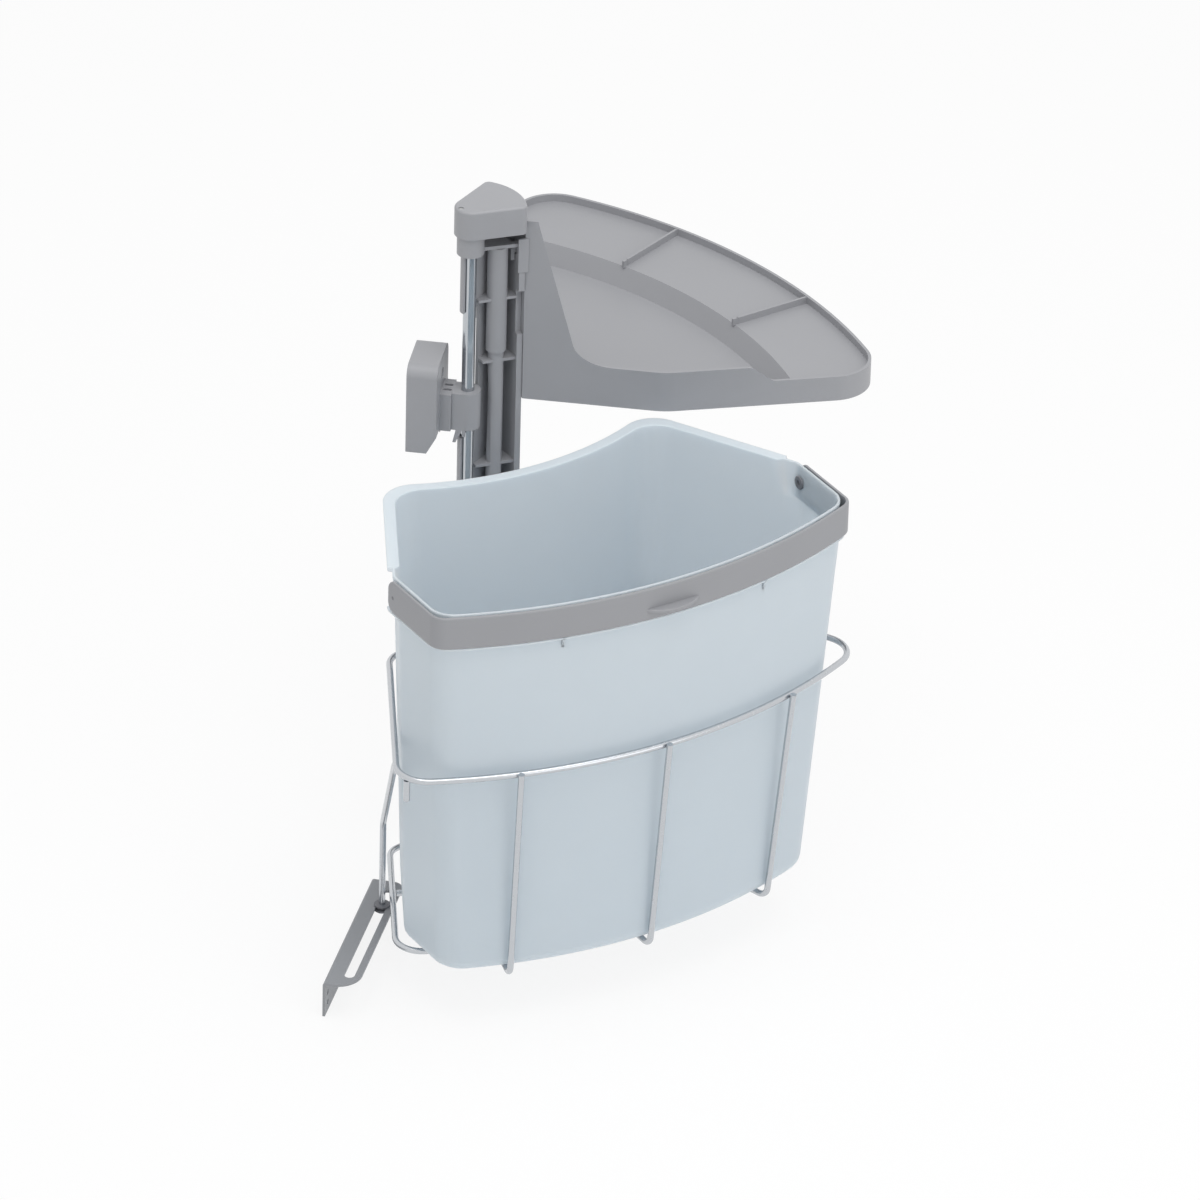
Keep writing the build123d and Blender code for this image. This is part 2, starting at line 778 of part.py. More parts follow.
with BuildPart() as cap_screw:
    head_bottom = cap_top - cap_screw_recess - cap_screw_head_height
    with BuildSketch(lid_plane(head_bottom)):
        with Locations(cap_screw_place):
            Circle(cap_screw_head_radius)
    extrude(amount=cap_screw_head_height)
    with BuildSketch(lid_plane(head_bottom)):
        with Locations(cap_screw_place):
            Circle(cap_screw_radius - running_gap)
    extrude(amount=-cap_screw_length + cap_screw_head_height)
write(cap_screw, "cap_screw")


# Tray lid: a fan with a deep pocket near the column and three shallow compartments outside it

def lid_sketch(height, inset):
    """Lid outline, moved inwards by an inset."""
    back_radius = column_radius + seat_gap
    back_near = polar(back_radius, -lid_back_angle - lid_turn)
    back_middle = polar(back_radius, -lid_turn)
    back_far = polar(back_radius, lid_back_angle - lid_turn)
    elbow = (lid_elbow_reach, lid_elbow_side)
    corner = (sqrt(lid_outer_radius**2 - lid_corner_side**2) - fan_back, lid_corner_side)
    with BuildSketch(tray_plane(height)) as outline:
        with BuildLine():
            ThreePointArc(back_near, back_middle, back_far)
            Line(back_far, elbow)
            Line(elbow, corner)
            ThreePointArc(corner, (lid_outer_radius - fan_back, 0), flipped(corner))
            Line(flipped(corner), flipped(elbow))
            Line(flipped(elbow), back_near)
        make_face()
        fillet(outline.vertices().group_by(Axis.X)[-1], lid_corner_round)
        fillet(outline.vertices().sort_by(Axis.X)[2:4], lid_elbow_round)
        if inset:
            offset(amount=-inset, kind=Kind.INTERSECTION, mode=Mode.REPLACE)
    return outline.sketch


def pocket_sketch(height, inset):
    """Mouth of the deep pocket: the lid's inside, cut by an arc about the fan centre."""
    with BuildSketch(tray_plane(height)) as mouth:
        add(tray_plane(height).to_local_coords(lid_sketch(height, inset)))
        with Locations((-fan_back, 0)):
            Circle(lid_pocket_radius - inset, mode=Mode.INTERSECT)
    return mouth.sketch


with BuildPart() as tray_lid:
    extrude(lid_sketch(lid_skirt_bottom, 0), amount=lid_fin_top - lid_skirt_bottom)
    lid_inside = lid_sketch(lid_skirt_bottom - cut_overrun, lid_wall)
    extrude(lid_inside, amount=lid_fin_top - lid_skirt_bottom + 2 * cut_overrun, mode=Mode.SUBTRACT)
    upright = Plane(origin=(0, 0, 0), x_dir=tray_plane(0).x_dir, z_dir=-tray_plane(0).y_dir)
    with BuildSketch(upright):
        with BuildLine():
            fin_edge = FilletPolyline(
                (lid_fin_shoulder, lid_fin_top + cut_overrun),
                (lid_fin_shoulder, lid_fin_top),
                (lid_fin_foot, lid_side_top),
                (lid_fin_foot + 2 * lid_fin_round, lid_side_top),
                radius=lid_fin_round,
            )
            step_edge = FilletPolyline(
                fin_edge @ 1,
                (lid_step_start, lid_side_top),
                (lid_step_end, lid_rim_top),
                (lid_outer_radius, lid_rim_top),
                radius=lid_step_round,
            )
            Polyline(step_edge @ 1, (lid_outer_radius, lid_fin_top + cut_overrun), fin_edge @ 0)
        make_face()
    extrude(amount=lid_outer_radius, both=True, mode=Mode.SUBTRACT)
    extrude(lid_sketch(lid_shelf_top - lid_shelf_thickness, lid_wall / 2), amount=lid_shelf_thickness)
    pocket_depth = lid_shelf_top - lid_floor_bottom
    extrude(pocket_sketch(lid_shelf_top, lid_wall / 2), amount=-pocket_depth, taper=lid_pocket_taper)
    extrude(
        pocket_sketch(lid_shelf_top, lid_wall),
        amount=-pocket_depth + lid_floor_thickness,
        taper=lid_pocket_taper,
        mode=Mode.SUBTRACT,
    )
    divider_length = lid_outer_radius - lid_pocket_radius - lid_wall
    divider_middle = (lid_outer_radius + lid_pocket_radius - lid_wall) / 2
    for side in (-1, 1):
        heading = side * divider_angle
        middle_place = polar(divider_middle, heading)
        with BuildSketch(tray_plane(lid_shelf_top - lid_shelf_thickness)):
            with Locations((middle_place[0] - fan_back, middle_place[1])):
                Rectangle(divider_length, divider_thickness, rotation=heading)
        extrude(amount=lid_shelf_thickness + divider_height)
    back_outer = column_radius + seat_gap + lid_wall
    bridge_bottom = hook_seat + hook_bridge_gap
    bridge = band_sketch(bridge_bottom, hook_lip_inner, back_outer, -hook_half_angle, hook_half_angle)
    extrude(bridge, amount=hook_bridge_height)
    lip = band_sketch(bridge_bottom, hook_lip_inner, hook_lip_outer, -hook_half_angle, hook_half_angle)
    extrude(lip, amount=-hook_lip_drop)
    for side in (-1, 1):
        tab_start = side * (column_half_angle + tab_gap_angle)
        tab_end = side * (column_half_angle + tab_gap_angle + tab_sweep_angle)
        tab = band_sketch(tab_bottom, back_outer - tab_reach, back_outer, tab_start, tab_end)
        extrude(tab, amount=tab_height)
write(tray_lid, "tray_lid")


# Bin shell with its rim, the ledge under the handle and two gussets
handle_top = bin_rim_height - handle_top_drop
handle_bottom = handle_top - handle_height
pivot_height = (handle_top + handle_bottom) / 2
pivot_plane = Plane(
    origin=basket_plane(0).from_local_coords(Vector(handle_pivot_reach, 0, pivot_height)),
    x_dir=basket_plane(0).x_dir,
    z_dir=basket_plane(0).y_dir,
)

with BuildPart() as bin_cavity:
    cavity_floor = bin_foot_height + bin_floor
    cavity_top = bin_rim_height + cut_overrun
    loft(sections=[bin_section(cavity_floor, bin_wall), bin_section(cavity_top, bin_wall)], ruled=True)
    fillet(bin_cavity.faces().sort_by(Axis.Z)[0].edges(), bin_bottom_round - bin_wall)

with BuildPart() as bin_shell:
    loft(sections=[bin_section(bin_foot_height, 0), bin_section(bin_rim_height, 0)], ruled=True)
    fillet(bin_shell.faces().sort_by(Axis.Z)[0].edges(), bin_bottom_round)
    lip_bottom = bin_rim_height - rim_lip_thickness
    rim_lip_end = flank_start - rim_lip_end_step
    with BuildSketch(basket_plane(lip_bottom)):
        add(basket_plane(lip_bottom).to_local_coords(fan_sketch(basket_plane(lip_bottom), -rim_lip_width, 0)))
        with Locations((rim_lip_end / 2, 0)):
            Rectangle(rim_lip_end, 2 * bin_outer_radius, mode=Mode.INTERSECT)
    extrude(amount=rim_lip_thickness)
    ledge_top = handle_bottom - seat_gap
    ledge_inset = (bin_rim_height - ledge_top) * tan(radians(bin_draft))
    with BuildSketch(basket_plane(ledge_top)):
        local_ledge = fan_sketch(basket_plane(ledge_top), ledge_inset - ledge_width, 0)
        add(basket_plane(ledge_top).to_local_coords(local_ledge))
        with Locations((handle_pivot_reach - handle_ear_round + bin_outer_radius / 2, 0)):
            Rectangle(bin_outer_radius, 2 * bin_outer_radius, mode=Mode.INTERSECT)
    extrude(amount=-ledge_thickness)
    gusset_top = ledge_top - ledge_thickness
    gusset_outer = bin_outer_radius - ledge_inset + ledge_width
    for side in (-1, 1):
        with BuildSketch(radial_plane(side * gusset_angle)):
            with BuildLine():
                Polyline(
                    (gusset_outer - 2 * ledge_width - bin_wall, gusset_top),
                    (gusset_outer, gusset_top),
                    (gusset_outer - 2 * ledge_width - bin_wall, gusset_top - 2 * gusset_height),
                    close=True,
                )
            make_face()
        extrude(amount=gusset_thickness / 2, both=True)
    add(bin_cavity.part, mode=Mode.SUBTRACT)
    with BuildSketch(pivot_plane):
        Circle(pivot_radius + pivot_hole_gap)
    extrude(amount=bin_half_width + cut_overrun, both=True, mode=Mode.SUBTRACT)
write(bin_shell, "bin_shell")


# Bail handle: a band round the outer half of the rim, with a grip tab
band_start = handle_pivot_reach - handle_ear_round
with BuildPart() as bail_handle:
    band_outline = flank_sketch(basket_plane(handle_bottom), band_start, handle_gap + handle_thickness)
    extrude(band_outline, amount=handle_height)
    with BuildSketch(basket_plane(handle_bottom)):
        flange_outline = flank_sketch(
            basket_plane(handle_bottom),
            handle_pivot_reach + handle_ear_round,
            handle_gap + handle_thickness + handle_flange_width,
        )
        add(basket_plane(handle_bottom).to_local_coords(flange_outline))
    extrude(amount=handle_flange_thickness)
    grip_bottom = handle_bottom + grip_rise
    grip_edge = bin_outer_radius - fan_back + handle_gap + handle_thickness + grip_reach
    with BuildSketch(basket_plane(grip_bottom)):
        with Locations((grip_edge - grip_radius, 0)):
            Circle(grip_radius)
    extrude(amount=grip_thickness)
    handle_inside = flank_sketch(basket_plane(handle_bottom - cut_overrun), 0, handle_gap)
    extrude(handle_inside, amount=handle_height + 2 * cut_overrun, mode=Mode.SUBTRACT)
    local_start = basket_plane(0).from_local_coords(Vector(band_start, 0, 0))
    end_faces = bail_handle.faces().filter_by(Plane(origin=local_start, z_dir=basket_plane(0).x_dir))
    end_ring = end_faces.sort_by(Axis((0, 0, 0), basket_plane(0).x_dir))[0:2]
    ear_edges = end_ring.edges().filter_by(Axis(local_start, basket_plane(0).y_dir))
    fillet(ear_edges, handle_ear_round)
    with BuildSketch(pivot_plane):
        Circle(pivot_radius + pivot_hole_gap)
    hole_reach = bin_half_width + handle_gap + handle_thickness + cut_overrun
    extrude(amount=hole_reach, both=True, mode=Mode.SUBTRACT)
write(bail_handle, "bail_handle")

with BuildPart() as handle_pivots:
    head_inset = (bin_rim_height - pivot_height + pivot_head_radius) * tan(radians(bin_draft))
    head_face = bin_half_width - head_inset - bin_wall - seat_gap
    for side in (-1, 1):
        with BuildSketch(pivot_plane.offset(side * head_face)):
            Circle(pivot_radius)
        extrude(amount=side * (bin_half_width + handle_gap + handle_thickness - head_face))
        with BuildSketch(pivot_plane.offset(side * head_face)):
            Circle(pivot_head_radius)
        extrude(amount=-side * pivot_head_thickness)
write(handle_pivots, "handle_pivots")


# Wire basket
with BuildPart() as basket_ring:
    ring_loop = sector_sketch(
        basket_plane(ring_height), ring_inner, ring_outer, ring_inset, ring_inner_round, ring_outer_round
    )
    sweep_loop(ring_loop)
write(basket_ring, "basket_ring")

with BuildPart() as floor_loop:
    floor_outline = sector_sketch(
        basket_plane(floor_wire_height),
        floor_inner_radius,
        floor_outer_radius,
        floor_inset,
        floor_inner_round,
        floor_outer_round,
    )
    sweep_loop(floor_outline)
write(floor_loop, "floor_loop")

front_wire_top = ring_height + front_wire_rise
bin_foot_radius = bin_outer_radius - bin_depth * tan(radians(bin_draft))
front_wire_foot = bin_foot_radius + wire_radius + front_wire_clearance
with BuildPart() as front_wires:
    for heading in (-front_wire_angle, 0, front_wire_angle):
        with BuildLine(radial_plane(heading)) as front_path:
            FilletPolyline(
                (ring_outer + 2 * wire_radius + weld_gap, front_wire_top),
                (front_wire_foot, cradle_wire_height),
                (floor_outer_radius - front_wire_tail, cradle_wire_height),
                radius=front_wire_bend,
            )
        sweep_wire(front_path.line)
write(front_wires, "front_wires")

with BuildPart() as rear_wires:
    for heading in (-rear_wire_angle, rear_wire_angle):
        with BuildLine(radial_plane(heading)) as rear_path:
            Line(
                (ring_inner - 2 * wire_radius, ring_height + front_wire_rise),
                (floor_inner_radius - 2 * wire_radius - weld_gap, floor_wire_height - front_wire_rise),
            )
        sweep_wire(rear_path.line)
write(rear_wires, "rear_wires")

with BuildPart() as cross_wire:
    with BuildLine(basket_plane(cradle_wire_height)) as cross_path:
        cross_end = polar(cross_wire_radius, cross_wire_angle)
        ThreePointArc(
            (cross_end[0] - fan_back, -cross_end[1]),
            (cross_wire_radius - fan_back, 0),
            (cross_end[0] - fan_back, cross_end[1]),
        )
    sweep_wire(cross_path.line)
write(cross_wire, "cross_wire")


def make_hub_wire(height, reach):
    """Hairpin that wraps a hub and runs out to the basket's inner wires."""
    bend = hub_radius + wire_radius + hub_wire_gap
    with BuildPart() as hairpin:
        with BuildLine(basket_plane(height)) as path:
            Line((reach, -bend), (0, -bend))
            ThreePointArc((0, -bend), (-bend, 0), (0, bend))
            Line((0, bend), (reach, bend))
        sweep_wire(path.line)
    return hairpin


write(make_hub_wire(upper_hub_wire_height, ring_inner - fan_back), "upper_hub_wire")
write(make_hub_wire(lower_hub_wire_height, floor_inner_radius - fan_back), "lower_hub_wire")


def make_hub(height):
    """Sleeve on the rod, at the middle of its hairpin."""
    with BuildPart() as hub:
        with BuildSketch(Plane.XY.offset(height - hub_length / 2)):
            Circle(hub_radius)
            Circle(bush_radius, mode=Mode.SUBTRACT)
        extrude(amount=hub_length)
    return hub


for position, middle_height in (("upper", upper_hub_wire_height), ("lower", lower_hub_wire_height)):
    write(make_hub(middle_height), position + "_basket_hub")
    write(make_bush(middle_height - hub_length / 2, hub_length, -1), position + "_basket_bush")


# Stop collars under the basket's upper hub and under the column, each with a grub screw

def make_collar(top):
    with BuildPart() as collar:
        with BuildSketch(Plane.XY.offset(top - collar_height)):
            Circle(collar_radius)
            Circle(rod_radius + running_gap, mode=Mode.SUBTRACT)
        extrude(amount=collar_height)
        with BuildSketch(Plane.XZ.offset(rod_radius)):
            with Locations((0, top - collar_height / 2)):
                Circle(grub_radius)
        extrude(amount=collar_radius, mode=Mode.SUBTRACT)
    return collar


basket_collar_top = upper_hub_wire_height - hub_length / 2 - bush_flange - seat_gap
column_collar_top = column_bottom - bush_flange - seat_gap
write(make_collar(basket_collar_top), "basket_collar")
write(make_collar(column_collar_top), "column_collar")

with BuildPart() as collar_screws:
    for top in (basket_collar_top, column_collar_top):
        with BuildSketch(Plane.XZ.offset(rod_radius + running_gap)):
            with Locations((0, top - collar_height / 2)):
                Circle(grub_radius - running_gap)
        extrude(amount=collar_radius - rod_radius - grub_inset)
write(collar_screws, "collar_screws")


# Driver wire: from the ring's corner down along the side and through the door bracket's slot
driver_start = side_point(ring_outer, ring_inset)[0] - ring_outer_round + driver_start_step
driver_side = -side_line_offset(driver_reach, ring_inset) - driver_spread
driver_base = basket_plane(0).from_local_coords(Vector(driver_reach, driver_side, 0))
start_side = -side_line_offset(driver_start, ring_inset)
driver_run = basket_plane(0).from_local_coords(Vector(driver_start, start_side, 0)) - driver_base
driver_plane = Plane(origin=driver_base, x_dir=driver_run, z_dir=driver_run.cross(Vector(0, 0, 1)))
driver_top = ring_height - 2 * wire_radius
glider_bottom = bracket_plate_top - bracket_sheet - glider_clearance - glider_flange_thickness
driver_head_top = glider_bottom - glider_clearance
with BuildPart() as driver_wire:
    with BuildLine(driver_plane) as driver_path:
        FilletPolyline(
            (driver_run.length, driver_top),
            (driver_run.length - driver_straight, driver_top),
            (0, driver_bend_height),
            (0, driver_head_top),
            radius=driver_bend,
        )
    sweep_wire(driver_path.line)
    with BuildSketch(Plane(origin=driver_base, z_dir=(0, 0, 1)).offset(driver_head_top)):
        Circle(wire_radius + driver_head_step)
    extrude(amount=-driver_head_height)
write(driver_wire, "driver_wire")

with BuildPart() as ring_peg:
    ring_corner = Vector(*flipped(side_point(ring_outer, ring_inset)), ring_height)
    corner_place = basket_plane(0).from_local_coords(ring_corner)
    corner_bend = ring_loop.edges().sort_by_distance(corner_place)[0]
    with BuildSketch(Plane(origin=corner_bend @ (1 / 2), z_dir=(0, 0, 1)).offset(-wire_radius)):
        Circle(wire_radius)
    extrude(amount=-peg_length)
write(ring_peg, "ring_peg")


# Slot glider and door bracket
bracket_plane = Plane(
    origin=(driver_base.X, driver_base.Y, 0),
    x_dir=(cos(radians(door_direction)), sin(radians(door_direction)), 0),
    z_dir=(0, 0, 1),
)
plate_bottom = bracket_plate_top - bracket_sheet

with BuildPart() as slot_glider:
    with BuildSketch(bracket_plane.offset(glider_bottom)):
        Circle(glider_flange_radius)
    extrude(amount=glider_flange_thickness)
    with BuildSketch(bracket_plane.offset(glider_bottom)):
        Circle(glider_core_radius)
    extrude(amount=2 * (glider_flange_thickness + glider_clearance) + bracket_sheet)
    with BuildSketch(bracket_plane.offset(bracket_plate_top + glider_clearance)):
        Circle(glider_flange_radius)
    extrude(amount=glider_flange_thickness)
    with BuildSketch(bracket_plane.offset(glider_bottom - cut_overrun)):
        Circle(wire_radius + running_gap)
    extrude(amount=bracket_sheet + 2 * (glider_flange_thickness + cut_overrun), mode=Mode.SUBTRACT)
write(slot_glider, "slot_glider")

with BuildPart() as door_bracket:
    with BuildSketch(bracket_plane.offset(plate_bottom)) as plate_outline:
        with BuildLine():
            Polyline(
                (-bracket_rear, -bracket_door_side),
                (bracket_front, -bracket_door_side),
                (bracket_front, bracket_free_side),
                (-bracket_rear, bracket_free_side),
                close=True,
            )
        make_face()
        fillet(plate_outline.vertices().group_by(Axis.Y)[-1].sort_by(Axis.X)[-1], bracket_front_round)
        fillet(plate_outline.vertices().group_by(Axis.X)[0].sort_by(Axis.Y)[-1], bracket_rear_round)
        with Locations(((slot_front - slot_rear) / 2, 0)):
            SlotCenterToCenter(slot_front + slot_rear, 2 * slot_half_width, mode=Mode.SUBTRACT)
    extrude(amount=bracket_sheet)
    with BuildSketch(bracket_plane.offset(bracket_plate_top)):
        with Locations(((bracket_front - bracket_rear) / 2, -bracket_door_side + bracket_sheet / 2)):
            Rectangle(bracket_front + bracket_rear, bracket_sheet)
    extrude(amount=-flange_drop)
    bend_edge = door_bracket.edges().filter_by(Axis(bracket_plane.origin, bracket_plane.x_dir))
    outer_edge = bend_edge.group_by(Axis.Z)[-1].sort_by(Axis(bracket_plane.origin, bracket_plane.y_dir))[0]
    fillet(outer_edge, bracket_bend - bracket_sheet / 2)
    flange_plane = Plane(
        origin=bracket_plane.from_local_coords(Vector(0, -bracket_door_side, bracket_plate_top)),
        x_dir=bracket_plane.x_dir,
        z_dir=-bracket_plane.y_dir,
    )
    for reach in (-bracket_rear + flange_hole_end, bracket_front - flange_hole_end):
        for drop in (flange_hole_first, flange_hole_first + flange_hole_pitch):
            with BuildSketch(flange_plane):
                with Locations((reach, -drop)):
                    Circle(flange_hole_radius)
            extrude(amount=-bracket_sheet, mode=Mode.SUBTRACT)
write(door_bracket, "door_bracket")
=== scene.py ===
"""Finishes, wires, light and camera for a waste bin that swings out of a kitchen cabinet."""

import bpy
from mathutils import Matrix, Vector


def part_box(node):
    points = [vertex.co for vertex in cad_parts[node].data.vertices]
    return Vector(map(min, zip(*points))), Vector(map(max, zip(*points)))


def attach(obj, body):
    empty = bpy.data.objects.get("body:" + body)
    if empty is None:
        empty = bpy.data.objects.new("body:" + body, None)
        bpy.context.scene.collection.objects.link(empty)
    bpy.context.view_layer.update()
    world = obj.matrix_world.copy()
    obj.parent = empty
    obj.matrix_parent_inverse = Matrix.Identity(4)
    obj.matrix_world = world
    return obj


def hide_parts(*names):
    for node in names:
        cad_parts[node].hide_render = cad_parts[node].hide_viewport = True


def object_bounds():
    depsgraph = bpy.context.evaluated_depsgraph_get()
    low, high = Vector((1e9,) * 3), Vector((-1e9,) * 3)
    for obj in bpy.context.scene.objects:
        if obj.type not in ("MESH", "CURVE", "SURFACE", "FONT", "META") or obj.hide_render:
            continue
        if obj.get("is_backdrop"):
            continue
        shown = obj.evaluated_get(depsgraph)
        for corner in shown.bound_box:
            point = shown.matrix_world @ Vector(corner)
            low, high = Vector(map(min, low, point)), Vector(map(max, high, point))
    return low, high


bl_info = {
    "name": "Swing-out bin",
    "version": (1, 0, 0),
    "blender": (4, 5, 0),
    "location": "3D View > Sidebar > Swing-out bin",
    "description": "Builds the shown pieces of a swing-out cabinet bin over its construction model",
    "category": "Object",
}

from math import acos, atan2, cos, pi, radians, sin, sqrt, tan

import bmesh
import bpy
from bpy.props import FloatProperty, FloatVectorProperty, IntProperty, PointerProperty
from mathutils import Matrix, Vector

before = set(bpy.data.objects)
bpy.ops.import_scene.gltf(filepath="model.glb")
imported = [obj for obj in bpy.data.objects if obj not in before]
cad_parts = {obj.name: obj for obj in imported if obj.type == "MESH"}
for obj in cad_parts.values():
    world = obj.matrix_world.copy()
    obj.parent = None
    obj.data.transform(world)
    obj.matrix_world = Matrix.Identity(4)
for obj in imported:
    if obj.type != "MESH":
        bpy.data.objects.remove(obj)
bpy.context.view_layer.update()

MM = 0.001


# Colour and number helpers

def linear(code):
    """Linear colour, with alpha, of an sRGB hex value."""
    channels = [int(code[place:place + 2], 16) / 255 for place in (1, 3, 5)]
    curve = [c / 12.92 if c <= 0.04045 else ((c + 0.055) / 1.055) ** 2.4 for c in channels]
    return (*curve, 1.0)


def number(name, description, default, unit="NONE"):
    return FloatProperty(name=name, description=description, default=default, unit=unit)


def length(name, description, millimetres):
    return number(name, description, millimetres * MM, "LENGTH")


def turn(name, description, degrees):
    return FloatProperty(
        name=name, description=description, default=radians(degrees), subtype="ANGLE", unit="ROTATION"
    )


def colour(name, description, code):
    return FloatVectorProperty(
        name=name, description=description, default=linear(code), size=4, subtype="COLOR", min=0, max=1
    )


# Settings that a user would change

class BinSizes(bpy.types.PropertyGroup):
    """The fan-shaped plan, the bin and its basket."""

    basket_turn: turn("Basket direction", "Direction of the basket from the swivel axis", -49.6)
    fan_back: length("Fan centre", "How far the fan's centre lies behind the swivel axis", 145)
    fan_half_angle: turn("Fan half angle", "Half the angle between the two radial sides", 28.35)
    inner_radius: length("Inner radius", "Curved wall next to the post, about the fan centre", 246.7)
    outer_radius: length("Outer radius", "Curved front wall, about the fan centre", 448)
    half_width: length("Half width", "Half the distance between the two flanks", 182.94)
    rim_height: length("Rim height", "Top of the rim above the rod's lower end", 359.4)
    depth: length("Depth", "From the rim to the underside", 330.4)
    draft: turn("Draft", "Lean of the walls, for release from the mould", 3.35)
    wall: length("Wall", "Wall of the bin", 2.2)
    floor: length("Floor", "Floor of the bin", 2.6)
    inner_round: length("Inner corner", "Plan corner at the curved inner wall", 26)
    side_round: length("Side corner", "Plan corner between a radial side and a flank", 14)
    outer_round: length("Outer corner", "Plan corner at the front wall", 22)
    bottom_round: length("Bottom round", "Edge between the walls and the underside", 12)
    side_step: length("Side step", "How far the walls under the lip lie inside the rim", 5.8)
    side_draft: turn("Side draft", "Lean of the walls under the lip", 1.75)
    recess: length("Handle recess", "How far the wall steps inwards behind the handle", 2.2)
    ledge: length("Ledge", "How far the ledge under the handle stands out", 3.3)
    lip_end: length("End of the lip", "Distance from the swivel axis, at the rim", 184)
    recess_slant: length("Recess slant", "How much further out its edge lies at the ledge", 5.5)
    handle_drop: length("Handle drop", "From the rim to the handle's top edge", 0.6)
    handle_height: length("Handle height", "Height of the handle's band", 27)
    handle_thickness: length("Handle thickness", "Thickness of the handle's band", 2.6)
    handle_offset: length("Handle offset", "How far the band's outside lies outside the rim", 2.0)
    handle_round: length("Handle corner", "Plan corner of the handle's outside", 14)
    handle_start: length("Handle end", "Distance of the band's ends from the swivel axis", 195.5)
    handle_end_round: length("Handle end round", "Rounding of the band's free ends", 7)
    tab_radius: length("Tab radius", "Curve of the grip tab's edge", 34)
    tab_reach: length("Tab reach", "How far the grip tab stands out of the band", 8.5)
    tab_rise: length("Tab rise", "From the band's lower edge to the grip tab", 7)
    pivot_reach: length("Handle pivot", "Distance of the pivots from the swivel axis", 202)
    pivot_drop: length("Pivot drop", "From the rim to the handle's pivots", 14.1)
    wire_radius: length("Wire radius", "Half the wire's thickness", 2.5)
    ring_drop: length("Ring drop", "From the rim to the basket's ring", 144.7)
    ring_front_gap: length("Ring gap", "Between the front wall and the ring", 3.9)
    floor_inner_step: length("Floor inner step", "Floor loop's inner arc inside the rim's inner wall", 22)
    floor_outer_step: length("Floor outer step", "Floor loop's outer arc inside the rim's front wall", 68.5)
    foot_height: length("Foot height", "Underside of the bin", 29)


class BinColours(bpy.types.PropertyGroup):
    """Colours of the finishes, as they look under plain white light."""

    bin_plastic: colour("Bin", "Pale blue-grey polypropylene", "#D1DEE8")
    grey_plastic: colour("Lid and column", "Mid grey moulded plastic", "#A4A5A9")
    handle_plastic: colour("Handle", "Warm mid grey plastic", "#9D9EA2")
    pivot_plastic: colour("Handle pivots", "Dark grey nylon", "#77787D")
    bush_plastic: colour("Bushes", "Natural acetal", "#D9D8D2")
    wire_metal: colour("Wire", "Nickel plated wire", "#C4C7CB")
    rod_metal: colour("Rod", "Chromed bar", "#BDC1C5")
    zinc_metal: colour("Screws", "Zinc plated steel", "#BFC0C0")
    bracket_coat: colour("Door bracket", "Silver grey powder coat", "#95979B")


class ViewSettings(bpy.types.PropertyGroup):
    """Camera, floor and lamps."""

    azimuth: turn("Azimuth", "Camera's turn about the upright axis", 8.3)
    pitch: turn("Pitch", "How far the camera looks down", 30.36)
    roll: turn("Roll", "Camera's turn about its own line of sight", 1.57)
    scale: number("Scale", "Millimetres shown by one pixel", 0.775)
    focal: number("Focal length", "Lens, in millimetres", 298)
    axis_x: number("Axis across", "Picture column of the axis", 467.5)
    axis_y: number("Axis down", "Picture row of the axis at its datum", 408)
    axis_height: length("Axis datum", "Height on the swivel axis that the picture row is for", 360)
    picture: IntProperty(name="Picture size", description="Pixels across the square picture", default=1200)
    key_power: number("Key lamp", "Lamp overhead", 32, "POWER")
    fill_power: number("Fill lamp", "Low lamp", 6, "POWER")
    sky: number("Sky", "Strength of the even light from all round", 0.6)
    floor_reach: number("Floor", "Half its width", 30, "LENGTH")
    floor_glow: number("Floor glow", "Share of plain white", 0.86)


SETTINGS = {
    "swing_bin_sizes": BinSizes,
    "swing_bin_colours": BinColours,
    "swing_bin_view": ViewSettings,
}


def sizes():
    return bpy.context.scene.swing_bin_sizes


def colours():
    return bpy.context.scene.swing_bin_colours


def view():
    return bpy.context.scene.swing_bin_view


# Mesh helpers

SMOOTH_ANGLE = radians(50)  # Edges sharper than this stay sharp
EDGE_ANGLE = radians(32)  # Edges sharper than this get a rounding
FLAT_ANGLE = radians(0.6)  # Faces within this lie in one plane
SAME_PLACE = 0.002 * MM  # Points within this are one
TURNED_FACETS = 40
WIRE_FACETS = 24


def new_object(name, content):
    """Object in the scene with a mesh, a curve, a lamp or a camera."""
    piece = bpy.data.objects.new(name, content)
    bpy.context.scene.collection.objects.link(piece)
    return piece


def object_of(name, shape):
    """Object with the faces of a bmesh, which is freed."""
    mesh = bpy.data.meshes.new(name)
    shape.to_mesh(mesh)
    shape.free()
    return new_object(name, mesh)


def smooth(mesh):
    """Smooth shading, with sharp edges kept sharp."""
    mesh.shade_smooth()
    mesh.set_sharp_from_angle(angle=SMOOTH_ANGLE)


def evened(piece):
    """Plain mesh whose large flat faces are shaded flat up to their rounded edges."""
    smooth(piece.data)
    weights = piece.modifiers.new("even_shading", "WEIGHTED_NORMAL")
    weights.keep_sharp = True
    weights.weight = 100
    return baked(piece)


def finish(piece, finish_name, body):
    """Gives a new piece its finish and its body."""
    piece.data.materials.clear()
    piece.data.materials.append(finish_named(finish_name))
    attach(piece, body)
    return piece


def coat(node, finish_name):
    """Gives a construction node its finish."""
    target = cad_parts[node]
    material = finish_named(finish_name)
    if not target.material_slots:
        target.data.materials.append(material)
    for slot in target.material_slots:
        slot.material = material


def baked(piece):
    """Plain mesh of a piece with its modifiers applied, under the same object."""
    graph = bpy.context.evaluated_depsgraph_get()
    mesh = bpy.data.meshes.new_from_object(piece.evaluated_get(graph))
    if piece.type == "MESH":
        piece.modifiers.clear()
        piece.data = mesh
        return piece
    name = piece.name
    bpy.data.objects.remove(piece)
    return new_object(name, mesh)


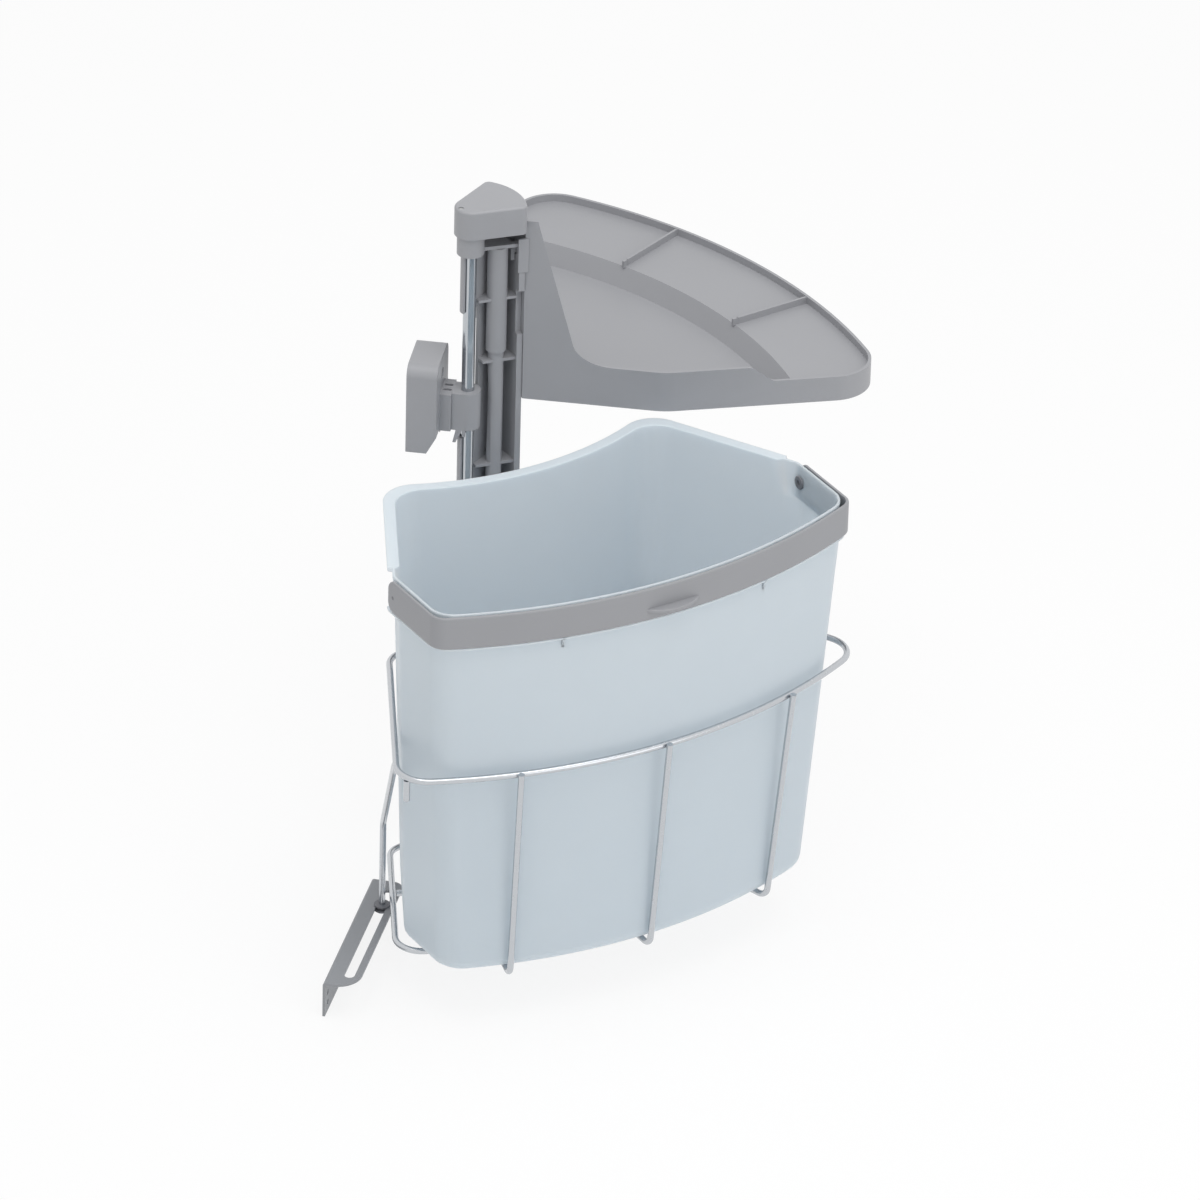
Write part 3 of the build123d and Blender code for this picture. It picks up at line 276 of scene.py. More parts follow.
def softened(node, name, width):
    """Copy of a node's mesh with its points merged and its edges rounded."""
    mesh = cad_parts[node].data.copy()
    mesh.attributes.active_color = None
    shape = bmesh.new()
    shape.from_mesh(mesh)
    bmesh.ops.remove_doubles(shape, verts=shape.verts, dist=SAME_PLACE)
    bmesh.ops.dissolve_limit(shape, angle_limit=FLAT_ANGLE, verts=shape.verts, edges=shape.edges)
    shape.to_mesh(mesh)
    shape.free()
    piece = new_object(name, mesh)
    if mesh.has_custom_normals:
        with bpy.context.temp_override(object=piece):
            bpy.ops.mesh.customdata_custom_splitnormals_clear()
    bevel = piece.modifiers.new("edges", "BEVEL")
    bevel.width = width
    bevel.segments = 2
    bevel.limit_method = "ANGLE"
    bevel.angle_limit = EDGE_ANGLE
    bevel.miter_outer = "MITER_ARC"
    return evened(piece)


def skinned(name, rings):
    """Mesh over rings of points, each with as many points, with its two ends filled."""
    shape = bmesh.new()
    rows = [[shape.verts.new(point) for point in ring] for ring in rings]
    count = len(rows[0])
    for low, high in zip(rows, rows[1:]):
        for place in range(count):
            after = (place + 1) % count
            shape.faces.new((low[place], low[after], high[after], high[place]))
    shape.faces.new(rows[0])
    shape.faces.new(rows[-1])
    bmesh.ops.recalc_face_normals(shape, faces=shape.faces)
    return object_of(name, shape)


def joined(name, pieces):
    """One object that holds the meshes of several."""
    shape = bmesh.new()
    for piece in pieces:
        shape.from_mesh(piece.data)
        bpy.data.objects.remove(piece)
    return object_of(name, shape)


# The fan-shaped plan, in a frame whose x runs from the swivel axis along the basket

def arc(centre, radius, start, end, steps):
    turns = [start + (end - start) * step / steps for step in range(steps + 1)]
    return [(centre[0] + radius * cos(a), centre[1] + radius * sin(a)) for a in turns]


def mirrored_back(half):
    """Closes a half outline that starts and ends on the middle line."""
    return half + [(x, -y) for x, y in reversed(half[1:-1])]


def side_offset_point(inset, reach):
    """Point at a distance inside the radial side and at a distance from the fan centre."""
    s = sizes()
    along = sqrt(reach**2 - inset**2)
    half = s.fan_half_angle
    return along * cos(half) + inset * sin(half) - s.fan_back, along * sin(half) - inset * cos(half)


def heading(point):
    """Angle of a point seen from the fan centre."""
    return atan2(point[1], point[0] + sizes().fan_back)


def on_line(start, end, reach):
    """Point of the line from start to end at a distance along the basket's axis."""
    share = (reach - start[0]) / (end[0] - start[0])
    return reach, start[1] + (end[1] - start[1]) * share


OUTLINE_STEPS = 10
BORDER_PLACE = 4 * OUTLINE_STEPS + 3  # Index of the last outline point before the recess
BORDER_HALF = 0.7 * MM  # Half the slope at the recess's edge
BORDER_LEAD = 8 * MM  # Length of the plain wall before the slope
BORDER_MARGIN = 1.2 * MM  # Least distance from the slope to the side corner


def bin_half_outline(inset, flank_inset, rounding, border):
    """Half outline of the bin, with an inset for its inner and radial walls and one for the rest."""
    s = sizes()
    steps = OUTLINE_STEPS
    centre = (-s.fan_back, 0)
    normal = s.fan_half_angle + pi / 2
    inner_round = s.inner_round - rounding
    side_round = s.side_round - rounding
    outer_round = s.outer_round - rounding
    inner = side_offset_point(inset + inner_round, s.inner_radius + inset + inner_round)
    side_y = s.half_width - flank_inset - side_round
    side_x = (side_y * cos(s.fan_half_angle) + inset + side_round) / sin(s.fan_half_angle) - s.fan_back
    outer_y = s.half_width - flank_inset - outer_round
    outer = (sqrt((s.outer_radius - flank_inset - outer_round) ** 2 - outer_y**2) - s.fan_back, outer_y)
    half = arc(centre, s.inner_radius + inset, 0, heading(inner), 3 * steps)
    half += arc(inner, inner_round, heading(inner) + pi, normal, steps)[1:]
    side = arc((side_x, side_y), side_round, normal, pi / 2, steps)
    border = min(border, side[0][0] - BORDER_MARGIN)
    middle = (half[-1][0] + border) / 2
    half += [on_line(half[-1], side[0], reach) for reach in (middle, border - BORDER_LEAD)]
    half += [on_line(half[-1], side[0], reach) for reach in (border - BORDER_HALF, border + BORDER_HALF)]
    flank = arc(outer, outer_round, pi / 2, heading(outer), steps)
    half += side + [((side[-1][0] + flank[0][0]) / 2, side[-1][1])] + flank
    half += arc(centre, s.outer_radius - flank_inset, heading(outer), 0, 4 * steps)[1:]
    return half


def bin_ring(drop, side_inset, handle_inset, rounding, stepped):
    """Ring round the bin below its rim, with a step, if asked, where the handle's zone begins."""
    s = sizes()
    ledge_drop = s.handle_drop + s.handle_height
    border = s.lip_end + min(drop / ledge_drop, 1) * s.recess_slant
    half = bin_half_outline(side_inset, handle_inset, rounding, border)
    if stepped:
        behind_handle = bin_half_outline(handle_inset, handle_inset, rounding, border)
        half = half[:BORDER_PLACE + 1] + behind_handle[BORDER_PLACE + 1:]
    return placed(mirrored_back(half), s.rim_height - drop)


def flank_half_path(offset, corner, ends):
    """Path outside the bin from points on the near flank, round its corner, to the front's middle."""
    s = sizes()
    centre = (-s.fan_back, 0)
    side_y = s.half_width + offset - corner
    outer = (sqrt((s.outer_radius + offset - corner) ** 2 - side_y**2) - s.fan_back, side_y)
    flank = [(reach, side_y + corner) for reach in ends]
    flank += arc(outer, corner, pi / 2, heading(outer), 12)
    return flank + arc(centre, s.outer_radius + offset, heading(outer), 0, 50)[1:]


def loop_outline(inner_radius, outer_radius, inset, inner_round, outer_round):
    """Outline of a basket loop: two arcs and two radial sides, with rounded corners."""
    s = sizes()
    steps = OUTLINE_STEPS
    centre = (-s.fan_back, 0)
    normal = s.fan_half_angle + pi / 2
    inner = side_offset_point(inset + inner_round, inner_radius + inner_round)
    outer = side_offset_point(inset + outer_round, outer_radius - outer_round)
    half = arc(centre, inner_radius, 0, heading(inner), 3 * steps)
    half += arc(inner, inner_round, heading(inner) + pi, normal, steps)[1:]
    half += arc(outer, outer_round, normal, heading(outer), steps)
    half += arc(centre, outer_radius, heading(outer), 0, 5 * steps)[1:]
    return mirrored_back(half)


def placed(outline, height):
    """Points of a basket outline in space."""
    place = Matrix.Rotation(sizes().basket_turn, 4, "Z")
    return [place @ Vector((x, y, height)) for x, y in outline]


def radial_points(angle, places):
    """Points in space from radii about the fan centre and heights, at an angle from the basket's axis."""
    s = sizes()
    place = Matrix.Rotation(s.basket_turn, 4, "Z")
    return [place @ Vector((r * cos(angle) - s.fan_back, r * sin(angle), z)) for r, z in places]


def turned(name, origin, axis, profile):
    """Round solid about an axis, from radii and places along it."""
    frame_of = axis.to_track_quat("Z", "Y").to_matrix()
    angles = [2 * pi * facet / TURNED_FACETS for facet in range(TURNED_FACETS)]
    rings = []
    for radius, along in profile:
        ring = [(radius * cos(angle), radius * sin(angle), along) for angle in angles]
        rings.append([origin + frame_of @ Vector(point) for point in ring])
    return skinned(name, rings)


def in_metres(profile, start=0):
    """Turned profile in metres, from one in millimetres, with its places counted from a start."""
    return [(radius * MM, start + along * MM) for radius, along in profile]


# Materials

NOISE_LOW, NOISE_HIGH = 0.3, 0.7  # Range that most of a noise lies in
NOISE_RANGE = {"From Min": NOISE_LOW, "From Max": NOISE_HIGH}
CLOUD = 70 * MM  # Size of the patches of uneven tone
GLOW_REACH = 14 * MM  # How far light spreads inside a thin wall


def add_node(tree, kind, settings=None, links=None):
    """Adds a node, sets its values and sockets, and links its inputs from other nodes' outputs."""
    node = tree.nodes.new(kind)
    for key, value in (settings or {}).items():
        if isinstance(key, int) or key in node.inputs:
            node.inputs[key].default_value = value
        else:
            setattr(node, key, value)
    for key, source in (links or {}).items():
        tree.links.new(source, node.inputs[key])
    return node


def new_material(name):
    material = bpy.data.materials.new(name)
    material.use_nodes = True
    material.node_tree.nodes.clear()
    return material, material.node_tree


def moulded_plastic(name, base, roughness, grain, depth, tint, glow=0.0):
    """Moulded plastic: fine eroded grain from the mould, and a faint uneven tone and gloss."""
    material, tree = new_material(name)
    place = add_node(tree, "ShaderNodeTexCoord")
    links = {"Vector": place.outputs["Object"]}
    settings = {"Scale": 1 / CLOUD, "Detail": 2.0, "Roughness": 0.5}
    tone = add_node(tree, "ShaderNodeTexNoise", settings, links)
    settings = {"Scale": 1 / grain, "Detail": 3.0, "Roughness": 0.6}
    speckle = add_node(tree, "ShaderNodeTexNoise", settings, links)
    ramp = add_node(tree, "ShaderNodeValToRGB", None, {"Fac": tone.outputs["Fac"]})
    ends = ((NOISE_LOW, 1 - tint), (NOISE_HIGH, 1 + tint))
    for element, (position, factor) in zip(ramp.color_ramp.elements, ends):
        element.position = position
        element.color = [min(channel * factor, 1.0) for channel in base[:3]] + [1.0]
    settings = {**NOISE_RANGE, "To Min": roughness - 0.04, "To Max": roughness + 0.05}
    gloss = add_node(tree, "ShaderNodeMapRange", settings, {"Value": tone.outputs["Fac"]})
    settings = {"Strength": 0.35, "Distance": depth}
    bump = add_node(tree, "ShaderNodeBump", settings, {"Height": speckle.outputs["Fac"]})
    settings = {
        "IOR": 1.5,
        "Subsurface Weight": glow,
        "Subsurface Scale": GLOW_REACH,
        "Subsurface Radius": (1.0, 1.0, 1.0),
    }
    links = {
        "Base Color": ramp.outputs["Color"],
        "Roughness": gloss.outputs["Result"],
        "Normal": bump.outputs["Normal"],
    }
    shader = add_node(tree, "ShaderNodeBsdfPrincipled", settings, links)
    add_node(tree, "ShaderNodeOutputMaterial", None, {"Surface": shader.outputs["BSDF"]})
    return material


def plated_metal(name, base, roughness, grain, depth, stretch=(1.0, 1.0, 1.0)):
    """Plated steel: a metal whose gloss wavers with the drawing or turning marks below the plating."""
    material, tree = new_material(name)
    place = add_node(tree, "ShaderNodeTexCoord")
    drawn = add_node(tree, "ShaderNodeMapping", {"Scale": stretch}, {"Vector": place.outputs["Object"]})
    settings = {"Scale": 1 / grain, "Detail": 3.0, "Roughness": 0.55}
    marks = add_node(tree, "ShaderNodeTexNoise", settings, {"Vector": drawn.outputs["Vector"]})
    settings = {**NOISE_RANGE, "To Min": roughness * 0.8, "To Max": roughness * 1.3}
    gloss = add_node(tree, "ShaderNodeMapRange", settings, {"Value": marks.outputs["Fac"]})
    settings = {"Strength": 0.25, "Distance": depth}
    bump = add_node(tree, "ShaderNodeBump", settings, {"Height": marks.outputs["Fac"]})
    settings = {"Base Color": base, "Metallic": 1.0}
    links = {"Roughness": gloss.outputs["Result"], "Normal": bump.outputs["Normal"]}
    shader = add_node(tree, "ShaderNodeBsdfPrincipled", settings, links)
    add_node(tree, "ShaderNodeOutputMaterial", None, {"Surface": shader.outputs["BSDF"]})
    return material


# Colour, roughness, size and depth of the grain, unevenness of the tone and share of light let through
PLASTICS = {
    # Polypropylene from a fine-eroded mould: soft sheen, slightly waxy, thin enough to let light through
    "pale_polypropylene": ("bin_plastic", 0.42, 1.1 * MM, 0.05 * MM, 0.012, 0.75),
    # Glass-filled nylon and polypropylene with a matt eroded grain
    "grey_moulded_plastic": ("grey_plastic", 0.44, 1.0 * MM, 0.06 * MM, 0.02),
    "handle_polypropylene": ("handle_plastic", 0.45, 1.0 * MM, 0.06 * MM, 0.02),
    "dark_grey_nylon": ("pivot_plastic", 0.45, 0.8 * MM, 0.04 * MM, 0.02),
    # Acetal is dense, smooth and slightly glossy
    "natural_acetal": ("bush_plastic", 0.35, 0.8 * MM, 0.03 * MM, 0.01),
    # Powder coat on sheet steel: even and satin, with a slight orange-peel skin
    "silver_powder_coat": ("bracket_coat", 0.4, 1.8 * MM, 0.12 * MM, 0.015),
}
# Colour, roughness, size and depth of the marks, and how they are drawn out
METALS = {
    # Bright nickel over drawn wire: clear highlights along the wire, softened by drawing marks
    "nickel_plated_wire": ("wire_metal", 0.22, 2.5 * MM, 0.003 * MM),
    # Hard chrome over ground bar: mirror-like, with fine rings from grinding
    "chromed_bar": ("rod_metal", 0.12, 1.2 * MM, 0.004 * MM, (0.2, 0.2, 1.0)),
    # Clear zinc on small steel parts: dull silver
    "zinc_plated_steel": ("zinc_metal", 0.34, 0.9 * MM, 0.02 * MM),
}


def finish_named(name):
    """Material of that name, made when it is first asked for."""
    found = bpy.data.materials.get(name)
    if found:
        return found
    table, make = (METALS, plated_metal) if name in METALS else (PLASTICS, moulded_plastic)
    colour_name, *numbers = table[name]
    return make(name, getattr(colours(), colour_name), *numbers)


# Wires follow their paths through one node tree

def wire_tree():
    """Geometry node tree that turns a path into a round wire."""
    found = bpy.data.node_groups.get("round_wire")
    if found:
        return found
    tree = bpy.data.node_groups.new("round_wire", "GeometryNodeTree")
    for name, side, kind in (
        ("Geometry", "INPUT", "Geometry"),
        ("Wire Radius", "INPUT", "Float"),
        ("Facets", "INPUT", "Int"),
        ("Finish", "INPUT", "Material"),
        ("Geometry", "OUTPUT", "Geometry"),
    ):
        tree.interface.new_socket(name, in_out=side, socket_type="NodeSocket" + kind)
    given = add_node(tree, "NodeGroupInput")
    links = {"Radius": given.outputs["Wire Radius"], "Resolution": given.outputs["Facets"]}
    profile = add_node(tree, "GeometryNodeCurvePrimitiveCircle", None, links)
    links = {"Curve": given.outputs["Geometry"], "Profile Curve": profile.outputs["Curve"]}
    tube = add_node(tree, "GeometryNodeCurveToMesh", {"Fill Caps": True}, links)
    real = add_node(tree, "GeometryNodeRealizeInstances", None, {"Geometry": tube.outputs["Mesh"]})
    shaded = add_node(tree, "GeometryNodeSetShadeSmooth", None, {"Geometry": real.outputs["Geometry"]})
    links = {"Geometry": shaded.outputs["Geometry"], "Material": given.outputs["Finish"]}
    coated = add_node(tree, "GeometryNodeSetMaterial", None, links)
    add_node(tree, "NodeGroupOutput", None, {"Geometry": coated.outputs["Geometry"]})
    return tree


def set_input(modifier, name, value):
    """Sets a named input of a node modifier by its socket's identifier."""
    for item in modifier.node_group.interface.items_tree:
        if item.item_type == "SOCKET" and item.in_out == "INPUT" and item.name == name:
            modifier[item.identifier] = value
            return
    raise ValueError("the node tree has no input named " + name)


BEND_STEPS = 10
BEND_SHARES = (0.49, 0.9)  # Most that a bend may take of the runs before and after it


def rounded_path(points, radius):
    """Path through points, with each inner corner turned by an arc of a radius."""
    route = [Vector(p) for p in points]
    path = [route[0]]
    for before, corner, after in zip(route, route[1:], route[2:]):
        a = (before - corner).normalized()
        b = (after - corner).normalized()
        half = a.angle(b) / 2
        most = [(point - corner).length * share for point, share in zip((before, after), BEND_SHARES)]
        tangent = min(radius / tan(half), *most)
        middle = corner + (a + b).normalized() * (tangent / cos(half))
        start = corner + a * tangent - middle
        end = corner + b * tangent - middle
        spread = start.angle(end)
        for step in range(BEND_STEPS + 1):
            share = step / BEND_STEPS
            near = sin((1 - share) * spread) / sin(spread)
            far = sin(share * spread) / sin(spread)
            path.append(middle + start * near + end * far)
    path.append(route[-1])
    return path


def wire(name, paths, closed, node):
    """Plain mesh of one or more wires along paths of points, which stands for a construction node."""
    curve = bpy.data.curves.new(name, "CURVE")
    curve.dimensions = "3D"
    for path in paths:
        spline = curve.splines.new("POLY")
        spline.points.add(len(path) - 1)
        for point, place in zip(spline.points, path):
            point.co = (*place, 1)
        spline.use_cyclic_u = closed
    piece = new_object(name, curve)
    modifier = piece.modifiers.new("round_wire", "NODES")
    modifier.node_group = wire_tree()
    set_input(modifier, "Wire Radius", sizes().wire_radius)
    set_input(modifier, "Facets", WIRE_FACETS)
    set_input(modifier, "Finish", finish_named("nickel_plated_wire"))
    piece = baked(piece)
    smooth(piece.data)
    if node:
        finish(piece, "nickel_plated_wire", "basket")
        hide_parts(node)
    return piece


# Operators, one for each piece or group of like pieces

WALL_DROPS = (50 * MM, 100 * MM, 180 * MM, 260 * MM)
RECESS_DROPS = (20 * MM, 10 * MM, 2.6 * MM)
LEDGE_GAP = 0.3 * MM  # Between the handle and the ledge
LEDGE_HEIGHT = 1.6 * MM
LEDGE_ROUND = 0.4 * MM
LEDGE_INSIDE = 0.6 * MM  # From the ledge down to where the inner wall is plain
CRISP = 0.1 * MM  # Small step that keeps an edge sharp
# Lip: millimetres below the rim, out of the rim's outline, and lost in width behind the handle
LIP_OUTSIDE = ((2.4, 0.9, 0), (2, 1.4, 0), (1.6, 1.5, 0), (0.9, 1.5, 0.02), (0.3, 1.2, 0.2), (0, 0.5, 0.7))
# Lip: millimetres below the rim and back from the inner wall
LIP_INSIDE = ((0, 0.9), (0.3, 0.3), (0.9, 0))


def bin_rows():
    """Drops below the rim, insets, rounding and whether there is a step, round the wall's section."""
    s = sizes()

    def side(drop):
        return s.side_step + drop * tan(s.side_draft)

    def back(drop):
        return drop * tan(s.draft)

    ledge_top = s.handle_drop + s.handle_height + LEDGE_GAP
    ledge_foot = ledge_top + LEDGE_HEIGHT
    turns = [radians(angle) for angle in (0, 18, 36, 54, 72, 90)]
    rows = []
    for angle in turns:
        drop = s.depth - s.bottom_round * (1 - cos(angle))
        growth = s.bottom_round * (1 - sin(angle))
        rows.append((drop, side(drop) + growth, back(drop) + growth, 0, False))
    rows += [(drop, side(drop), back(drop), 0, False) for drop in reversed(WALL_DROPS)]
    rows.append((ledge_foot + CRISP, side(ledge_foot), back(ledge_foot), 0, False))
    ledge = [
        (ledge_foot, LEDGE_ROUND - s.ledge),
        (ledge_foot - LEDGE_ROUND, -s.ledge),
        (ledge_top + LEDGE_ROUND, -s.ledge),
        (ledge_top, LEDGE_ROUND - s.ledge),
        (ledge_top - CRISP, s.recess),
    ]
    for drop, growth in ledge + [(drop, s.recess) for drop in RECESS_DROPS]:
        rows.append((drop, side(drop), back(drop) + growth, 0, True))
    for drop, out, growth in LIP_OUTSIDE:
        rows.append((drop * MM, -out * MM, s.recess + growth * MM, 0, True))
    for drop, back_off in LIP_INSIDE:
        side_in = s.side_step + s.wall - back_off * MM
        rows.append((drop * MM, side_in, s.recess + s.wall - 0.7 * back_off * MM, s.wall, True))
    for drop in (10 * MM, 20 * MM, ledge_top):
        rows.append((drop, side(drop) + s.wall, back(drop) + s.recess + s.wall, s.wall, True))
    for drop in (ledge_foot + LEDGE_INSIDE, *WALL_DROPS):
        rows.append((drop, side(drop) + s.wall, back(drop) + s.wall, s.wall, False))
    inner_round = s.bottom_round - s.wall
    for angle in reversed(turns):
        drop = s.depth - s.floor - inner_round * (1 - cos(angle))
        growth = s.wall + inner_round * (1 - sin(angle))
        rows.append((drop, side(drop) + growth, back(drop) + growth, s.wall, False))
    return rows


GUSSET_ANGLE = radians(11.5)  # From the middle, about the fan centre
GUSSET_HALF = 0.9 * MM  # Half its thickness
GUSSET_FALL = 9 * MM  # Its height
GUSSET_ROOT = 1.2 * MM  # Its depth in the wall


def bin_gusset(angle):
    """Small rib under the ledge, at an angle about the fan centre."""
    s = sizes()
    top = s.rim_height - s.handle_drop - s.handle_height - LEDGE_GAP - LEDGE_HEIGHT + CRISP
    face = s.outer_radius - (s.rim_height - top) * tan(s.draft)
    half = GUSSET_HALF / face
    root = face - GUSSET_ROOT
    outline = ((root, top), (face + s.ledge - CRISP, top), (root, top - GUSSET_FALL))
    return skinned("gusset", [radial_points(angle + side, outline) for side in (-half, half)])


class SWINGBIN_OT_bin(bpy.types.Operator):
    """Builds the bin with its drafted walls, its lip, and the recess, ledge and gussets for the handle"""

    bl_idname = "swingbin.bin"
    bl_label = "Bin"

    def execute(self, context):
        shell = skinned("shell", [bin_ring(*row) for row in bin_rows()])
        gussets = [bin_gusset(angle) for angle in (-GUSSET_ANGLE, GUSSET_ANGLE)]
        piece = evened(joined("bin", [shell, *gussets]))
        finish(piece, "pale_polypropylene", "bin")
        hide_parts("bin_shell")
        return {"FINISHED"}


# Section of the band: millimetres out of its outside or its inside, and above its lower edge
BAND_OUTSIDE = (
    (-1.5, 0), (-0.6, 0.3), (-0.15, 1), (0, 2.2), (0, 14),
    (0, 25.2), (-0.15, 26.3), (-0.7, 26.9), (-1.2, 27),
)
BAND_INSIDE = ((0.4, 27), (0, 26.6), (0, 13), (0, 0.4), (0.4, 0))
END_STEPS = 7  # Points round each of the band's free ends


def handle_band():
    """Band with rounded edges and rounded ends."""
    s = sizes()
    end_round = s.handle_end_round
    turns = [radians(90 * step / (END_STEPS - 1)) for step in range(END_STEPS)]
    steps = [end_round * (1 - cos(angle)) for angle in turns]
    ends = [s.handle_start + step for step in steps]
    inside = s.handle_offset - s.handle_thickness
    outline = [(s.handle_offset + out * MM, height * MM) for out, height in BAND_OUTSIDE]
    outline += [(inside + out * MM, height * MM) for out, height in BAND_INSIDE]
    low = s.rim_height - s.handle_drop - s.handle_height
    rows = []
    for offset, height in outline:
        half = flank_half_path(offset, s.handle_round + offset - s.handle_offset, ends)
        path = half + [(x, -y) for x, y in reversed(half[:-1])]
        row = []
        for place, point in enumerate(path):
            from_end = min(place, len(path) - 1 - place)
            cut_back = 0
            if from_end < END_STEPS:
                cut_back = end_round - sqrt(end_round**2 - (end_round - steps[from_end]) ** 2)
            kept = s.handle_height - 2 * cut_back
            row.append(placed([point], low + cut_back + height * kept / s.handle_height)[0])
        rows.append(row)
    return skinned("band", list(zip(*rows)))


# Rounded edge of the grip tab: millimetres in from its edge and above its underside
TAB_EDGE = ((0.9, 0), (0.25, 0.25), (0, 0.9), (0, 2.1), (0.25, 2.75), (0.9, 3))
TAB_ROOT = 1 * MM  # Its depth in the band


def grip_tab():
    """Thin rounded tab under the middle of the band."""
    s = sizes()
    face = s.outer_radius - s.fan_back + s.handle_offset
    centre = face + s.tab_reach - s.tab_radius
    low = s.rim_height - s.handle_drop - s.handle_height + s.tab_rise
    root = face - TAB_ROOT
    rings = []
    for inset, height in TAB_EDGE:
        reach = s.tab_radius - inset * MM
        spread = acos((root - centre) / reach)
        rings.append(placed(arc((centre, 0), reach, -spread, spread, 40), low + height * MM))
    return skinned("tab", rings)


# Turned profiles of the handle's pivot: millimetres of radius, and out of the wall or the band
PIVOT_HEAD = (
    (5, -0.1), (5.5, -0.3), (5.5, -1.1), (5, -1.6), (2.4, -1.6), (2.1, -1.4), (2, -0.4), (0.2, -0.3),
)
PIVOT_PIN = ((1.5, -0.4), (1.5, 0.05), (1.3, 0.12), (0.2, 0.12))


def pivot_parts(side):
    """Head inside the bin, with a hole at its middle, and the pin's end on the handle."""
    s = sizes()
    place = Matrix.Rotation(s.basket_turn, 4, "Z")
    across = place @ Vector((0, side, 0))
    origin = place @ Vector((s.pivot_reach, 0, s.rim_height - s.pivot_drop))
    wall_inside = s.half_width - s.pivot_drop * tan(s.draft) - s.recess - s.wall
    band_outside = s.half_width + s.handle_offset
    parts = (("head", PIVOT_HEAD, wall_inside), ("pin", PIVOT_PIN, band_outside))
    return [turned(name, origin, across, in_metres(profile, face)) for name, profile, face in parts]


class SWINGBIN_OT_handle(bpy.types.Operator):
    """Builds the bail handle with its grip tab, and the pivots it turns on"""

    bl_idname = "swingbin.handle"
    bl_label = "Handle"

    def execute(self, context):
        piece = evened(joined("handle_band", [handle_band(), grip_tab()]))
        finish(piece, "handle_polypropylene", "handle")
        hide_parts("bail_handle")
        pivots = evened(joined("pivots", pivot_parts(-1) + pivot_parts(1)))
        finish(pivots, "dark_grey_nylon", "bin")
        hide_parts("handle_pivots")
        return {"FINISHED"}


TRAY_DIRECTION = radians(52.3)  # Of the tray's fan, from the swivel axis
DIVIDER_ANGLE = radians(9.6)  # From the fan's middle, about the fan centre
DIVIDER_REACHES = (374.2 * MM, 379.2 * MM)  # From the fan centre
# Section of a divider: millimetres from its middle, and up from the rod's lower end
DIVIDER_SECTION = ((-1, 378.5), (1, 378.5), (1, 384.5), (-1, 384.5))


def divider_ends():
    """Inner ends of the tray's two dividers, which run to the pocket's edge."""
    place = Matrix.Rotation(TRAY_DIRECTION, 4, "Z")
    ends = []
    for angle in (-DIVIDER_ANGLE, DIVIDER_ANGLE):
        rings = []
        for reach in DIVIDER_REACHES:
            ring = []
            for across, height in DIVIDER_SECTION:
                x = reach * cos(angle) - across * MM * sin(angle) - sizes().fan_back
                y = reach * sin(angle) + across * MM * cos(angle)
                ring.append(place @ Vector((x, y, height * MM)))
            rings.append(ring)
        ends.append(skinned("divider_end", rings))
    return joined("tray_divider_ends", ends)


class SWINGBIN_OT_lid(bpy.types.Operator):
    """Builds the tray lid with soft moulded edges"""

    bl_idname = "swingbin.lid"
    bl_label = "Tray lid"

    def execute(self, context):
        piece = softened("tray_lid", "tray", 0.85 * MM)
        finish(piece, "grey_moulded_plastic", "lid")
        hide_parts("tray_lid")
        finish(divider_ends(), "grey_moulded_plastic", "lid")
        return {"FINISHED"}


class SWINGBIN_OT_column(bpy.types.Operator):
    """Builds the swinging column, its cap and its screw"""

    bl_idname = "swingbin.column"
    bl_label = "Column"

    def execute(self, context):
        for node, name, width in (("swing_column", "column", 0.35), ("column_cap", "cap", 0.5)):
            piece = softened(node, name, width * MM)
            finish(piece, "grey_moulded_plastic", "lid_carrier")
            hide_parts(node)
        coat("cap_screw", "zinc_plated_steel")
        for node in ("upper_column_bush", "lower_column_bush"):
            coat(node, "natural_acetal")
        return {"FINISHED"}


SCREW_HEAD = 4.4 * MM  # Radius of a wall screw's head
SCREW_PITCH = 48 * MM  # Between the two screws of a bracket
SCREW_REACH = 15 * MM  # From a screw's tip to the wall's face
# Recess and face of a head: millimetres of radius, and out of the head's face
SCREW_FACE = ((0.4, -1.4), (1.5, -1.2), (1.8, 0), (4.1, 0), (4.4, -0.3), (1.9, -2.3))


def bracket_screws():
    """Countersunk screws in the wall brackets, from their heads down to the wall."""
    low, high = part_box("wall_screws")
    wall = low[0] + SCREW_REACH
    profile = in_metres(SCREW_FACE, high[0] - wall) + in_metres([(1.9, 0)])
    lowest, highest = low[2] + SCREW_HEAD, high[2] - SCREW_HEAD
    screws = []
    for height in (lowest, lowest + SCREW_PITCH, highest - SCREW_PITCH, highest):
        foot = Vector((wall, (low[1] + high[1]) / 2, height))
        screws.append(turned("screw", foot, Vector((1, 0, 0)), profile))
    return evened(joined("wall_screws_shown", screws))


class SWINGBIN_OT_post(bpy.types.Operator):
    """Finishes the rod, the wall brackets, their jaws, screws and the stop collars"""

    bl_idname = "swingbin.post"
    bl_label = "Post"

    def execute(self, context):
        for place in ("upper", "lower"):
            for kind, width in (("wall_bracket", 0.8), ("clamp_jaw", 0.4)):
                node = place + "_" + kind
                piece = softened(node, node + "_moulding", width * MM)
                finish(piece, "grey_moulded_plastic", "post")
                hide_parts(node)
        coat("swivel_rod", "chromed_bar")
        screws = finish(bracket_screws(), "zinc_plated_steel", "post")
        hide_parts("wall_screws")
        for node in ("basket_collar", "column_collar", "collar_screws"):
            coat(node, "zinc_plated_steel")
        return {"FINISHED"}


